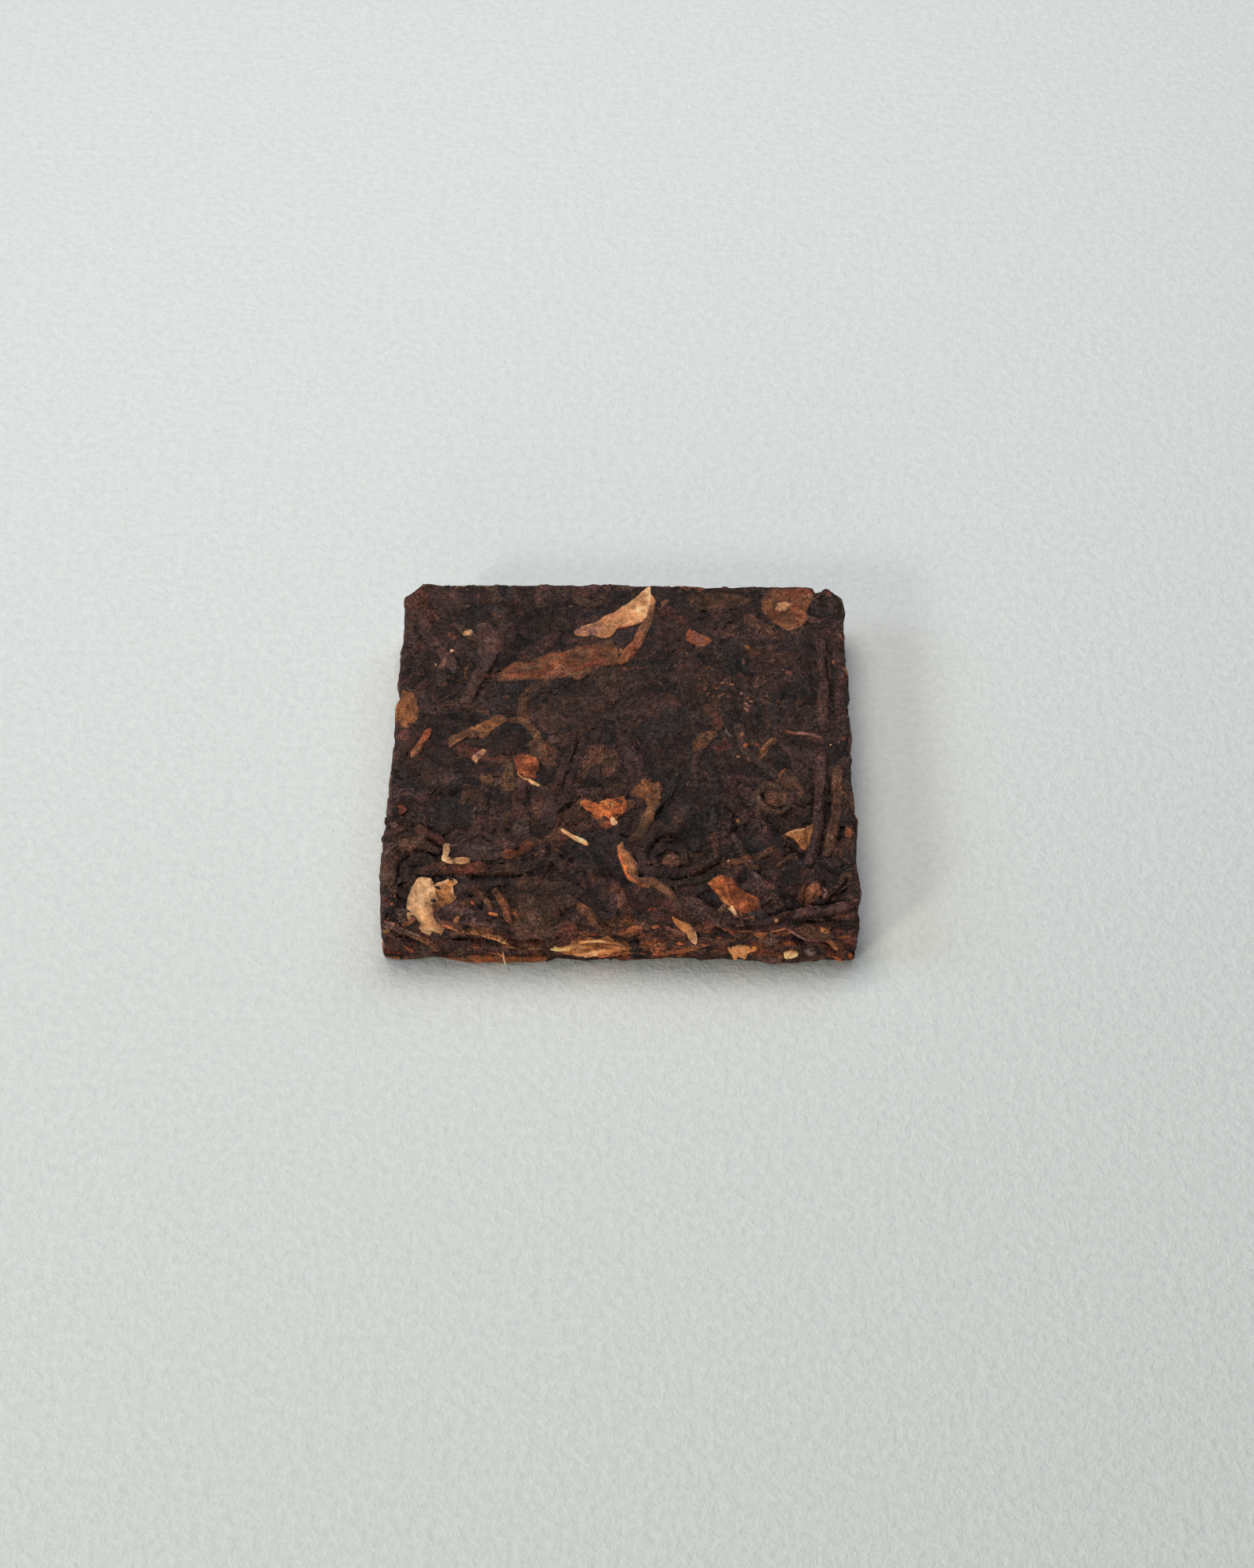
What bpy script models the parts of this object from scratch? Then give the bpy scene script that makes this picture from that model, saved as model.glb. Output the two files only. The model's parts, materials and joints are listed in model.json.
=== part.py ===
"""A small square tablet of pressed ripe tea with pieces of dried tangerine peel set into it.

The tablet lies flat: its origin is the middle of the face it rests on, +Z is up and -Y is
the front. Each piece of peel is a thin plate that sits in its own pocket of the tablet.
"""

import bpy
import bmesh
from math import atan2, cos, hypot, pi, radians, sin, sqrt
from mathutils import Matrix, Vector, noise

MM = 0.001
SAME = 1e-4  # two lengths this close, as a share of their size, count as equal

# The pressed tablet
SIDE = 35.0 * MM
THICKNESS = 5.0 * MM
HALF = SIDE / 2

# Its edges: how round the shoulder, the foot and the corners are
SHOULDER = 0.55 * MM
FRONT_SHOULDER = 1.1 * MM
FOOT = 0.3 * MM
CORNER_POWER = 40
CLIPPED_CORNER_ANGLE = radians(135)
CLIPPED_CORNER_LEG = 1.4 * MM
TORN_CORNER_ANGLE = radians(45)
TORN_CORNER_LEG = 0.7 * MM

# Unevenness of the pressed leaves
EDGE_WANDER = 0.2 * MM
EDGE_WANDER_SIZE = 2.4 * MM
LAYERING = 2.4
LEAF_LENGTH = 6.0 * MM
LEAF_WIDTH = 2.6 * MM
CREASE_DEPTH = 0.3 * MM
CREASE_WIDTH = 0.35
LEAF_TILT = 0.1 * MM
GRID_STEP = 1.3 * MM
WALL_ROWS = 3

# The notch in the back edge beside the torn corner
NOTCH_X = 15.6 * MM
NOTCH_WIDTH = 0.55 * MM
NOTCH_DEPTH = 0.95 * MM
NOTCH_HEIGHT = 3.4 * MM

# Peel
PEEL_THICKNESS = 0.55 * MM
PEEL_PROUD = 0.1 * MM
PEEL_BEVEL = 0.08 * MM
PEEL_POINTS = 20
POCKET_GAP = 0.1 * MM
STRIP_STEPS = 3

TEA_BROWN = (0.052, 0.030, 0.022)
PEEL_CREAM = (0.46, 0.27, 0.13)
PEEL_TAN = (0.36, 0.19, 0.09)
PEEL_ORANGE = (0.32, 0.10, 0.028)
PEEL_RUSSET = (0.18, 0.062, 0.024)
PEEL_OCHRE = (0.16, 0.068, 0.025)


def remove_everything():
    for thing in list(bpy.data.objects):
        bpy.data.objects.remove(thing, do_unlink=True)


def new_collection(name):
    collection = bpy.data.collections.new(name)
    bpy.context.scene.collection.children.link(collection)
    return collection


def new_material(name, colour, roughness):
    material = bpy.data.materials.new(name)
    material.use_nodes = True
    shader = material.node_tree.nodes["Principled BSDF"]
    shader.inputs["Base Color"].default_value = (*colour, 1.0)
    shader.inputs["Roughness"].default_value = roughness
    shader.inputs["Metallic"].default_value = 0.0
    return material


def new_object(name, mesh, collection, material=None):
    thing = bpy.data.objects.new(name, mesh)
    collection.objects.link(thing)
    if material:
        mesh.materials.append(material)
    return thing


# ---------------------------------------------------------------- the pressed tablet


def outline_radius(angle):
    """How far the tablet's wall is from its middle in one direction, seen from above."""
    c, s = abs(cos(angle)), abs(sin(angle))
    radius = HALF / (c**CORNER_POWER + s**CORNER_POWER) ** (1 / CORNER_POWER)
    corners = (
        (CLIPPED_CORNER_ANGLE, CLIPPED_CORNER_LEG),
        (TORN_CORNER_ANGLE, TORN_CORNER_LEG),
    )
    for corner, leg in corners:
        toward = cos(angle - corner)
        if toward > 0.7:
            flat = (HALF * 2 - leg) / sqrt(2)
            radius = min(radius, flat / toward)
    return radius


def wander(x, y, z):
    """The wall's own bumps: layered, so they change faster upwards than along the wall."""
    place = Vector((x, y, LAYERING * z)) / EDGE_WANDER_SIZE
    return EDGE_WANDER * noise.fractal(place, 0.8, 2.0, 3)


def leaf_relief(x, y):
    """Height of the pressed leaves over the upper face: flat leaves with creases between.

    The leaves are the cells of a bent Voronoi pattern, each a little tilted.
    """
    bend = noise.noise_vector(Vector((x, y, 0.0)) / LEAF_LENGTH) * LEAF_LENGTH * 0.4
    place = Vector(((x + bend.x) / LEAF_LENGTH, (y + bend.y) / LEAF_WIDTH, 0.0))
    distances, centres = noise.voronoi(place)
    crease = max(0.0, 1 - (distances[1] - distances[0]) / CREASE_WIDTH)
    tilt = noise.cell(centres[0] * 7) * (place - centres[0]).x
    return LEAF_TILT * tilt - CREASE_DEPTH * crease


def quarter_round(distance, radius):
    """Half of what a rounded edge of this radius takes away at this distance from it.

    Both faces that meet at the edge give way by half, so it comes out as a soft chamfer.
    """
    if distance >= radius:
        return 0.0
    return 0.5 * (radius - sqrt(radius**2 - (radius - distance) ** 2))


def press(point):
    """Move one point of the plain box to its place on the pressed tablet."""
    x, y, z = point
    flat = hypot(x, y)
    along = max(abs(x), abs(y)) / HALF
    shoulder = SHOULDER
    if y < 0 and abs(y) >= abs(x):
        shoulder = FRONT_SHOULDER
    radius = along * outline_radius(atan2(y, x))
    if along > 1 - SAME:
        above = max(0.0, THICKNESS - z)
        radius += wander(x, y, z) - quarter_round(above, shoulder) - quarter_round(z, FOOT)
    height = z
    if z > THICKNESS * (1 - SAME):
        from_edge = max(0.0, (1 - along) * HALF)
        relief = leaf_relief(x, y) * min(1.0, from_edge / shoulder)
        height = THICKNESS - quarter_round(from_edge, shoulder) + relief
    if flat == 0:
        return Vector((0.0, 0.0, height))
    return Vector((x / flat * radius, y / flat * radius, height))


def cut_positions():
    """Where the plain box is cut across: an even grid, closer near its edges."""
    count = round(SIDE / GRID_STEP)
    even = [-HALF + SIDE * i / count for i in range(1, count)]
    near = [HALF - FRONT_SHOULDER * share for share in (0.12, 0.45)]
    inner = [p for p in even if abs(p) < HALF - 0.7 * FRONT_SHOULDER]
    return sorted(inner + near + [-p for p in near])


def wall_heights():
    """Heights of the cuts round the wall: the rows between, the shoulder and the foot."""
    rows = [THICKNESS * i / WALL_ROWS for i in range(1, WALL_ROWS)]
    return sorted(rows + [FOOT, THICKNESS - 0.45 * SHOULDER, THICKNESS - 0.1 * SHOULDER])


def cut_across(bm, place, direction):
    whole = bm.verts[:] + bm.edges[:] + bm.faces[:]
    bmesh.ops.bisect_plane(bm, geom=whole, plane_co=place, plane_no=direction)


def make_tablet(collection, material):
    bm = bmesh.new()
    bmesh.ops.create_cube(bm, size=1.0)
    bmesh.ops.scale(bm, vec=(SIDE, SIDE, THICKNESS), verts=bm.verts)
    bmesh.ops.translate(bm, vec=(0, 0, THICKNESS / 2), verts=bm.verts)
    for position in cut_positions():
        cut_across(bm, (position, 0, 0), (1, 0, 0))
        cut_across(bm, (0, position, 0), (0, 1, 0))
    for height in wall_heights():
        cut_across(bm, (0, 0, height), (0, 0, 1))
    for vertex in bm.verts:
        vertex.co = press(vertex.co)
        if vertex.co.z < THICKNESS * SAME:
            vertex.co.z = 0.0
    resting = [f for f in bm.faces if all(v.co.z == 0.0 for v in f.verts)]
    bmesh.ops.dissolve_faces(bm, faces=resting, use_verts=False)
    bmesh.ops.triangulate(bm, faces=bm.faces)
    bmesh.ops.recalc_face_normals(bm, faces=bm.faces)
    mesh = bpy.data.meshes.new("tea_brick")
    bm.to_mesh(mesh)
    bm.free()
    return new_object("tea_brick", mesh, collection, material)


def make_notch(collection):
    """A wedge that cuts the notch in the back edge."""
    bm = bmesh.new()
    bmesh.ops.create_cone(
        bm, cap_ends=True, segments=8, radius1=NOTCH_WIDTH * 0.4, radius2=NOTCH_WIDTH, depth=1.0
    )
    bmesh.ops.scale(bm, vec=(1, 2 * NOTCH_DEPTH / NOTCH_WIDTH, NOTCH_HEIGHT), verts=bm.verts)
    mesh = bpy.data.meshes.new("notch_cutter")
    bm.to_mesh(mesh)
    bm.free()
    notch = new_object("notch_cutter", mesh, collection)
    notch.location = (NOTCH_X, HALF + 0.7 * NOTCH_DEPTH, THICKNESS - NOTCH_HEIGHT * 0.35)
    return notch


# ---------------------------------------------------------------- outlines of the peel


def chip_outline(length, width, corners, ragged, seed):
    """A torn chip: an ellipse, or a rough polygon of so many corners, with a ragged edge."""
    points = []
    for i in range(PEEL_POINTS):
        angle = 2 * pi * i / PEEL_POINTS
        reach = 1.0
        if corners:
            slice_angle = 2 * pi / corners
            offset = (angle % slice_angle) - slice_angle / 2
            reach = 0.35 + 0.65 * cos(pi / corners) / cos(offset)
        torn = noise.noise(Vector((2.1 * cos(angle), 2.1 * sin(angle), seed)))
        reach *= 1 + 2 * ragged * torn
        points.append(Vector((cos(angle) * length / 2 * reach, sin(angle) * width / 2 * reach)))
    return points


def smooth_path(stops):
    """Catmull-Rom points through the stops, each (x, y, width) in millimetres."""
    stops = [Vector(stop) * MM for stop in stops]
    ends = [2 * stops[0] - stops[1]] + stops + [2 * stops[-1] - stops[-2]]
    points = []
    for before, here, after, beyond in zip(ends, ends[1:], ends[2:], ends[3:]):
        for step in range(STRIP_STEPS):
            t = step / STRIP_STEPS
            point = 2 * here + (after - before) * t
            point += (2 * before - 5 * here + 4 * after - beyond) * t**2
            point += (3 * here - before - 3 * after + beyond) * t**3
            points.append(point / 2)
    points.append(stops[-1])
    return points


def strip_outline(stops):
    """The outline of a strip that follows a path of changing width."""
    points = smooth_path(stops)
    left, right = [], []
    for i, point in enumerate(points):
        before = points[max(0, i - 1)]
        after = points[min(len(points) - 1, i + 1)]
        direction = Vector((after.x - before.x, after.y - before.y)).normalized()
        side = Vector((-direction.y, direction.x)) * point.z / 2
        middle = Vector((point.x, point.y))
        left.append(middle + side)
        right.append(middle - side)
    return right + left[::-1]


def grow(outline, distance):
    """The same outline moved outwards all round by a distance."""
    grown = []
    count = len(outline)
    for i, point in enumerate(outline):
        along = (outline[(i + 1) % count] - outline[i - 1]).normalized()
        grown.append(point + Vector((along.y, -along.x)) * distance)
    return grown


# ---------------------------------------------------------------- plates and their pockets


def plate_mesh(name, outline, thickness):
    """A flat outline, filled and extruded, as a closed mesh."""
    curve = bpy.data.curves.new(name, "CURVE")
    curve.dimensions = "2D"
    curve.fill_mode = "BOTH"
    curve.extrude = thickness / 2
    spline = curve.splines.new("POLY")
    spline.points.add(len(outline) - 1)
    for spline_point, point in zip(spline.points, outline):
        spline_point.co = (point.x, point.y, 0.0, 1.0)
    spline.use_cyclic_u = True
    source = bpy.data.objects.new(name + "_curve", curve)
    bpy.context.scene.collection.objects.link(source)
    evaluated = source.evaluated_get(bpy.context.evaluated_depsgraph_get())
    mesh = bpy.data.meshes.new_from_object(evaluated)
    mesh.name = name
    bpy.data.objects.remove(source, do_unlink=True)
    bm = bmesh.new()
    bm.from_mesh(mesh)
    bmesh.ops.remove_doubles(bm, verts=bm.verts, dist=1e-6)
    bmesh.ops.recalc_face_normals(bm, faces=bm.faces)
    bm.to_mesh(mesh)
    bm.free()
    return mesh


def facing(normal, heading):
    """A turn that lays a plate's Z along the normal, with its X at the heading."""
    outwards = Vector(normal).normalized()
    across = Vector((1, 0, 0)) if abs(outwards.x) < 0.9 else Vector((0, 1, 0))
    across = (across - outwards * across.dot(outwards)).normalized()
    turn = Matrix((across, outwards.cross(across), outwards)).transposed()
    return turn.to_4x4() @ Matrix.Rotation(radians(heading), 4, "Z")


UP = (0, 0, 1)
FRONT = (0, -1, 0)
ON_SHOULDER = (0, -0.75, 0.66)


class PeelMaker:
    """Sets plates of peel into the tablet and cuts the pockets they sit in."""

    def __init__(self, parts, cutters, finishes):
        self.parts = parts
        self.cutters = cutters
        self.finishes = finishes

    def set_in(self, name, outline, place, normal, heading, finish):
        """One plate with its outer face just proud of the place on the tablet's surface."""
        outwards = Vector(normal).normalized()
        middle = Vector(place) * MM - outwards * (PEEL_THICKNESS / 2 - PEEL_PROUD)
        matrix = Matrix.Translation(middle) @ facing(normal, heading)
        mesh = plate_mesh(name, outline, PEEL_THICKNESS)
        plate = new_object(name, mesh, self.parts, self.finishes[finish])
        plate.matrix_world = matrix
        bevel = plate.modifiers.new("worn_edge", "BEVEL")
        bevel.width = PEEL_BEVEL
        bevel.segments = 1
        bevel.limit_method = "ANGLE"
        bevel.angle_limit = radians(60)
        room = plate_mesh(name + "_pocket", grow(outline, POCKET_GAP), 2 * PEEL_THICKNESS)
        pocket = new_object(name + "_pocket", room, self.cutters)
        lift = outwards * (PEEL_THICKNESS / 2 - POCKET_GAP)
        pocket.matrix_world = Matrix.Translation(lift) @ matrix

    def chip(self, name, size, corners, ragged, place, normal, heading, finish):
        """A torn chip of a length and width in mm; its name's spelling seeds its edge."""
        length, width = size
        seed = sum(ord(letter) for letter in name) / 10
        outline = chip_outline(length * MM, width * MM, corners, ragged, seed)
        self.set_in(name, outline, place, normal, heading, finish)

    def strip(self, name, stops, finish):
        """A strip on the upper face along stops of (x, y, width) in mm."""
        self.set_in(name, strip_outline(stops), (0, 0, THICKNESS / MM), UP, 0, finish)


def add_chips(maker):
    """The separate chips, each with its size, corners, raggedness, place, facing and heading."""
    chip = maker.chip
    chip("peel_cream_large", (4.6, 3.3), 0, 0.16, (-14.1, -14.6, 5), UP, 75, "cream_peel")
    chip("peel_orange_left", (2.9, 2.1), 4, 0.10, (-7.3, -2.7, 5), UP, -55, "orange_peel")
    chip("peel_orange_middle", (4.0, 2.6), 3, 0.10, (-1.4, -6.9, 5), UP, -8, "orange_peel")
    chip("peel_tan_triangle", (2.6, 2.4), 3, 0.10, (13.4, -9.3, 5), UP, 50, "tan_peel")
    chip("peel_orange_right", (5.2, 2.5), 4, 0.08, (8.6, -14.6, 5), UP, -47, "orange_peel")
    chip("peel_ring", (4.8, 4.2), 0, 0.10, (13.0, 14.0, 5), UP, 20, "russet_peel")
    chip("peel_chip_back", (2.3, 2.0), 4, 0.12, (5.6, 11.6, 5), UP, -20, "russet_peel")
    chip("peel_left_edge", (4.4, 1.5), 0, 0.10, (-16.1, 3.3, 5), UP, 88, "ochre_peel")
    chip("peel_gold_front", (2.9, 1.5), 3, 0.14, (4.7, -17.1, 4.6), ON_SHOULDER, -30, "tan_peel")
    chip("peel_edge_front", (6.6, 1.3), 0, 0.12, (-1.9, -17.5, 2.7), FRONT, -4, "tan_peel")
    chip("peel_low_front", (8.2, 1.0), 0, 0.08, (-9.6, -17.5, 0.95), FRONT, 0, "russet_peel")
    chip("peel_chip_front", (2.5, 1.1), 3, 0.12, (9.2, -17.5, 1.5), FRONT, 12, "tan_peel")


def add_strips(maker):
    """The long pieces of peel: one folded back on itself, one curled, one short, one a needle."""
    fold = (
        (-3.8, 11.5, 1.3),
        (-0.7, 13.6, 1.8),
        (1.2, 15.3, 1.0),
        (2.3, 15.6, 0.55),
        (2.7, 14.7, 0.55),
        (2.1, 12.9, 0.9),
        (0.2, 10.4, 1.5),
        (-3.4, 9.0, 2.3),
        (-6.6, 7.6, 1.6),
        (-9.5, 6.8, 0.8),
    )
    curl = (
        (1.7, -3.5, 1.8),
        (2.2, -5.3, 1.6),
        (1.5, -7.8, 0.9),
        (0.5, -10.2, 0.8),
        (0.5, -12.6, 0.9),
        (1.3, -14.0, 0.9),
        (3.0, -15.2, 0.8),
    )
    short = ((-13.3, 0.3, 0.7), (-11.4, 1.3, 1.0), (-8.9, 3.0, 0.8))
    needle = ((-4.6, -8.9, 0.5), (-3.6, -9.6, 0.55), (-2.6, -10.4, 0.5))
    maker.strip("peel_folded_strip", fold, "russet_peel")
    maker.strip("peel_curled_strip", curl, "ochre_peel")
    maker.strip("peel_short_strip", short, "ochre_peel")
    maker.strip("peel_needle", needle, "cream_peel")


def main():
    remove_everything()
    parts = new_collection("pressed_tea_with_peel")
    cutters = new_collection("cutters")
    tea = new_material("tea", TEA_BROWN, 0.75)
    colours = {
        "cream_peel": PEEL_CREAM,
        "tan_peel": PEEL_TAN,
        "orange_peel": PEEL_ORANGE,
        "russet_peel": PEEL_RUSSET,
        "ochre_peel": PEEL_OCHRE,
    }
    finishes = {name: new_material(name, colour, 0.6) for name, colour in colours.items()}
    tablet = make_tablet(parts, tea)
    make_notch(cutters)
    maker = PeelMaker(parts, cutters, finishes)
    add_chips(maker)
    add_strips(maker)
    cut = tablet.modifiers.new("pockets", "BOOLEAN")
    cut.operation = "DIFFERENCE"
    cut.operand_type = "COLLECTION"
    cut.collection = cutters
    cut.solver = "EXACT"
    for cutter in cutters.objects:
        cutter.hide_render = True
        cutter.display_type = "WIRE"


main()
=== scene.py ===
"""Looks of a small square tablet of pressed ripe tea with pieces of dried tangerine peel.

The tablet is a dark core under hundreds of separate leaves. Each leaf is a thin closed shell
that was laid on the leaves below it, on a height map of its face, and the whole pile was then
pressed flat, which leaves the creases. Lengths are in millimetres until the meshes are made.
"""

import json
from functools import lru_cache, partial

import bpy
import numpy as np
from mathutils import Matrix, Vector


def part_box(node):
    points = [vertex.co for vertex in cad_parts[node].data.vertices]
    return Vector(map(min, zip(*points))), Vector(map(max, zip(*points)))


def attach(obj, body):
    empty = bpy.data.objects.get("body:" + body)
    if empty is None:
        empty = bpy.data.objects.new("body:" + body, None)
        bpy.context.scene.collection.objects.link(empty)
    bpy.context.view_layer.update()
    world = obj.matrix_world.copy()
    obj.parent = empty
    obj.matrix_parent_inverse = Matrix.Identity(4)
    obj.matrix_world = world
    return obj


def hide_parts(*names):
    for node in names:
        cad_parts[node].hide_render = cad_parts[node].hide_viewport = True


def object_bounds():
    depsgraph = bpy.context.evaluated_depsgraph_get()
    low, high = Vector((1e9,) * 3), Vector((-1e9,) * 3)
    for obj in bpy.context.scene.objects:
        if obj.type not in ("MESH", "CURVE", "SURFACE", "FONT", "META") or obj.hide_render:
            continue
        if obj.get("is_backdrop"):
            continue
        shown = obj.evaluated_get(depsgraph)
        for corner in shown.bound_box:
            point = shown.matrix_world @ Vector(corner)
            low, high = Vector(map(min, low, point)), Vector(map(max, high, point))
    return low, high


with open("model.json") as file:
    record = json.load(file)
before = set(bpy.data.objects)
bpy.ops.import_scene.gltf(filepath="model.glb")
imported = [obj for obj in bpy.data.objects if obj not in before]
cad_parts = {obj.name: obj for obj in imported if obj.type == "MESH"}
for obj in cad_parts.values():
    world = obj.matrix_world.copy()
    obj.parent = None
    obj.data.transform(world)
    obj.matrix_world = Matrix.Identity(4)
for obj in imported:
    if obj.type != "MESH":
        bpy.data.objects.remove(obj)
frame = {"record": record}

CAD_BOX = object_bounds()
MM = 0.001

# ---------------------------------------------------------------- sizes, from the frame

BRICK_LOW, BRICK_HIGH = (np.array(corner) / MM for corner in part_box("tea_brick"))
EDGE_PLAY = 0.04
HALF = (BRICK_HIGH[0] - BRICK_LOW[0]) / 2 - EDGE_PLAY
THICK = round(float(BRICK_HIGH[2]), 1)

# Radii of the round edges: of the upper face, of its front edge, of the foot, of the four corners
SHOULDER = 0.35
FRONT_SHOULDER = 0.8
FOOT = 0.3
CORNER = 0.5
REST = 0.12  # what would lie lower than this is squeezed against the resting plane

MAP_CELL = 0.06  # of a face's height map
MARGIN = 2.6  # of the height map past the face's edges
CORE_DEPTH = 0.5  # of the core's faces under the tablet's

# ---------------------------------------------------------------- colours, as seen in daylight

DAYLIGHT = np.array((0.84, 0.9, 0.83))  # what a white paper gives back where the tablet lies

TINTS = {
    "black": (26, 19, 17),
    "dark": (45, 33, 29),
    "mid": (60, 43, 37),
    "purple": (74, 53, 48),
    "slate": (36, 33, 32),
    "red": (80, 46, 36),
    "ash": (100, 88, 82),
    "brown": (84, 57, 41),
    "olive": (72, 54, 40),
    "umber": (98, 65, 44),
    "ochre": (120, 75, 44),
    "rust": (118, 60, 36),
    "russet": (104, 57, 38),
    "orange": (146, 78, 43),
    "flame": (184, 100, 52),
    "gold": (186, 120, 68),
    "tan": (164, 112, 74),
    "cream": (204, 148, 101),
    "pith": (240, 187, 136),
    "pink": (132, 90, 76),
}


def linear(colour):
    """An sRGB colour of 0 to 255 as a surface colour under the tablet's light."""
    share = np.array(colour, float) / 255
    light = np.where(share <= 0.04045, share / 12.92, ((share + 0.055) / 1.055) ** 2.4)
    return light / DAYLIGHT


MAT = linear((60, 45, 40))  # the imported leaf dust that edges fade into


def tint_along(tint, share):
    """The colour at a share of 0 to 1 of the way along a row of tints, or of one tint."""
    names = (tint,) if isinstance(tint, str) else tint
    colours = np.array([linear(TINTS[name]) for name in names])
    stops = np.linspace(0, 1, len(names)) if len(names) > 1 else np.array([0.0])
    return np.stack([np.interp(share, stops, column) for column in colours.T], -1)


def faded(colour, lost):
    """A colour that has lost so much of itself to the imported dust."""
    return colour * (1 - lost[..., None]) + MAT * lost[..., None]


# ---------------------------------------------------------------- smooth noise


class Noise:
    """Smooth noise of about -1 to 1 over a plane, with bumps of one size."""

    def __init__(self, rng, size, cells=64):
        self.values = rng.uniform(-1, 1, (cells, cells))
        self.size = size
        self.cells = cells

    def __call__(self, u, v):
        a, b = np.asarray(u) / self.size, np.asarray(v) / self.size
        i, j = np.floor(a).astype(int), np.floor(b).astype(int)
        a, b = a - i, b - j
        a, b = a * a * (3 - 2 * a), b * b * (3 - 2 * b)
        i, j, n = i % self.cells, j % self.cells, self.cells
        low = self.values[i, j] * (1 - a) + self.values[(i + 1) % n, j] * a
        high = self.values[i, (j + 1) % n] * (1 - a) + self.values[(i + 1) % n, (j + 1) % n] * a
        return low * (1 - b) + high * b


def bell(distance, width):
    """A smooth bump: 1 at no distance, and almost nothing at two widths."""
    return np.exp(-((distance / width) ** 2))


def ramp(value, start, length):
    """0 up to the start, then rising evenly to 1 over the length."""
    return np.clip((value - start) / length, 0, 1)


# ---------------------------------------------------------------- from a face to the tablet


def bend(reach, radius):
    """How far out and how far down a path goes that runs over a round edge."""
    turn = np.clip(reach / radius, 0, np.pi / 2)
    past = np.maximum(0, reach - radius * np.pi / 2)
    return radius * np.sin(turn), radius * (1 - np.cos(turn)) + past, np.cos(turn), np.sin(turn)


def over_face(u, v, h, side, front):
    """Where a point over a face with round edges lies: x, y, how far it drops and rises."""
    cu = np.clip(u, -HALF + side, HALF - side)
    cv = np.clip(v, -HALF + front, HALF - side)
    eu, ev = u - cu, v - cv
    reach = np.hypot(eu, ev)
    du, dv = eu / np.maximum(reach, 1e-9), ev / np.maximum(reach, 1e-9)
    radius = side + (front - side) * np.maximum(0, -dv) ** 2
    out, down, up_share, out_share = bend(reach, radius)
    return cu + du * (out + h * out_share), cv + dv * (out + h * out_share), down, h * up_share


def place_on_top(u, v, h):
    """A point over the upper face; past its edges the face bends down the wall."""
    x, y, down, up = over_face(u, v, h, SHOULDER, FRONT_SHOULDER)
    return np.stack([x, y, THICK - down + up], -1)


def place_under(u, v, h):
    """A point over the lower face, which is seen from below with its back edge up."""
    x, y, down, up = over_face(u, v, h, FOOT, FOOT)
    return np.stack([-x, y, down - up], -1)


# Lengths along the wall: of one straight side, of a side with one corner, all the way round
STRAIGHT = 2 * (HALF - CORNER)
QUARTER = STRAIGHT + CORNER * np.pi / 2
ROUND = 4 * QUARTER


def place_on_wall(u, v, h):
    """A point over the wall: u runs round it from the middle of the front, v is height."""
    turned = u + STRAIGHT / 2
    side = np.floor(turned / QUARTER)
    along = turned - side * QUARTER
    turn = np.maximum(0, along - STRAIGHT) / CORNER
    x = np.minimum(along, STRAIGHT) - STRAIGHT / 2 + CORNER * np.sin(turn)
    y = -HALF + CORNER - CORNER * np.cos(turn)
    nx, ny = np.sin(turn), -np.cos(turn)
    c, s = np.cos(side * np.pi / 2), np.sin(side * np.pi / 2)
    x, y, nx, ny = x * c - y * s, x * s + y * c, nx * c - ny * s, nx * s + ny * c
    shoulder = SHOULDER + (FRONT_SHOULDER - SHOULDER) * np.maximum(0, -ny) ** 2
    rise, inward, level, tip = bend(np.maximum(0, v - (THICK - shoulder)), shoulder)
    fall, inward_low, level_low, tip_low = bend(np.maximum(0, FOOT - v), FOOT)
    out = h * level * level_low - inward - inward_low
    z = np.clip(v, FOOT, THICK - shoulder) + rise + h * tip - fall - h * tip_low
    return np.stack([x + nx * out, y + ny * out, z], -1)


# The two back corners that are cut short: direction, length of the cut's legs
CUT_CORNERS = ((0.75 * np.pi, 1.1), (0.25 * np.pi, 0.8))
CUT_PLAY, CUT_FALLOFF = 0.012, 8

# The notch in the upper back edge: where it is, its half width, how deep it goes in, how far
# forward and down it reaches
NOTCH_X, NOTCH_WIDTH, NOTCH_DEPTH = 15.55, 0.32, 1.1
NOTCH_FRONT, NOTCH_LENGTH = 14.6, 2.6
NOTCH_LOW, NOTCH_RISE = 1.0, 1.5

EDGE_ROUGHNESS = 0.08
LEVEL_WAVES = 0.06

# Where the wall stands out (or in, if negative): side, place along it, how far, half width
SIDE_BUMPS = (
    ("left", 12.3, -0.15, 2.5),
    ("left", 5.2, -0.32, 0.8),
    ("left", 0.0, -0.05, 2.0),
    ("left", -9.6, 0.30, 1.0),
    ("left", -13.5, 0.18, 1.8),
    ("right", 12.0, -0.08, 2.0),
    ("right", -3.5, -0.14, 1.6),
    ("right", -7.6, 0.12, 1.2),
    ("right", -14.6, 0.05, 0.7),
    ("right", -16.2, -0.2, 0.5),
)
# Where the foot of the front stands out: place, how far, half width
FOOT_BUMPS = ((-9.4, 0.45, 2.8), (11.8, 0.42, 2.2), (-2.5, 0.12, 2.5))

settle_rng = np.random.default_rng(5)
edge_noise = Noise(settle_rng, 1.7)
level_noise = Noise(settle_rng, 6.0)
lump_noise = Noise(settle_rng, 1.25)
knob_noise = Noise(settle_rng, 0.6, 101)


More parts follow.
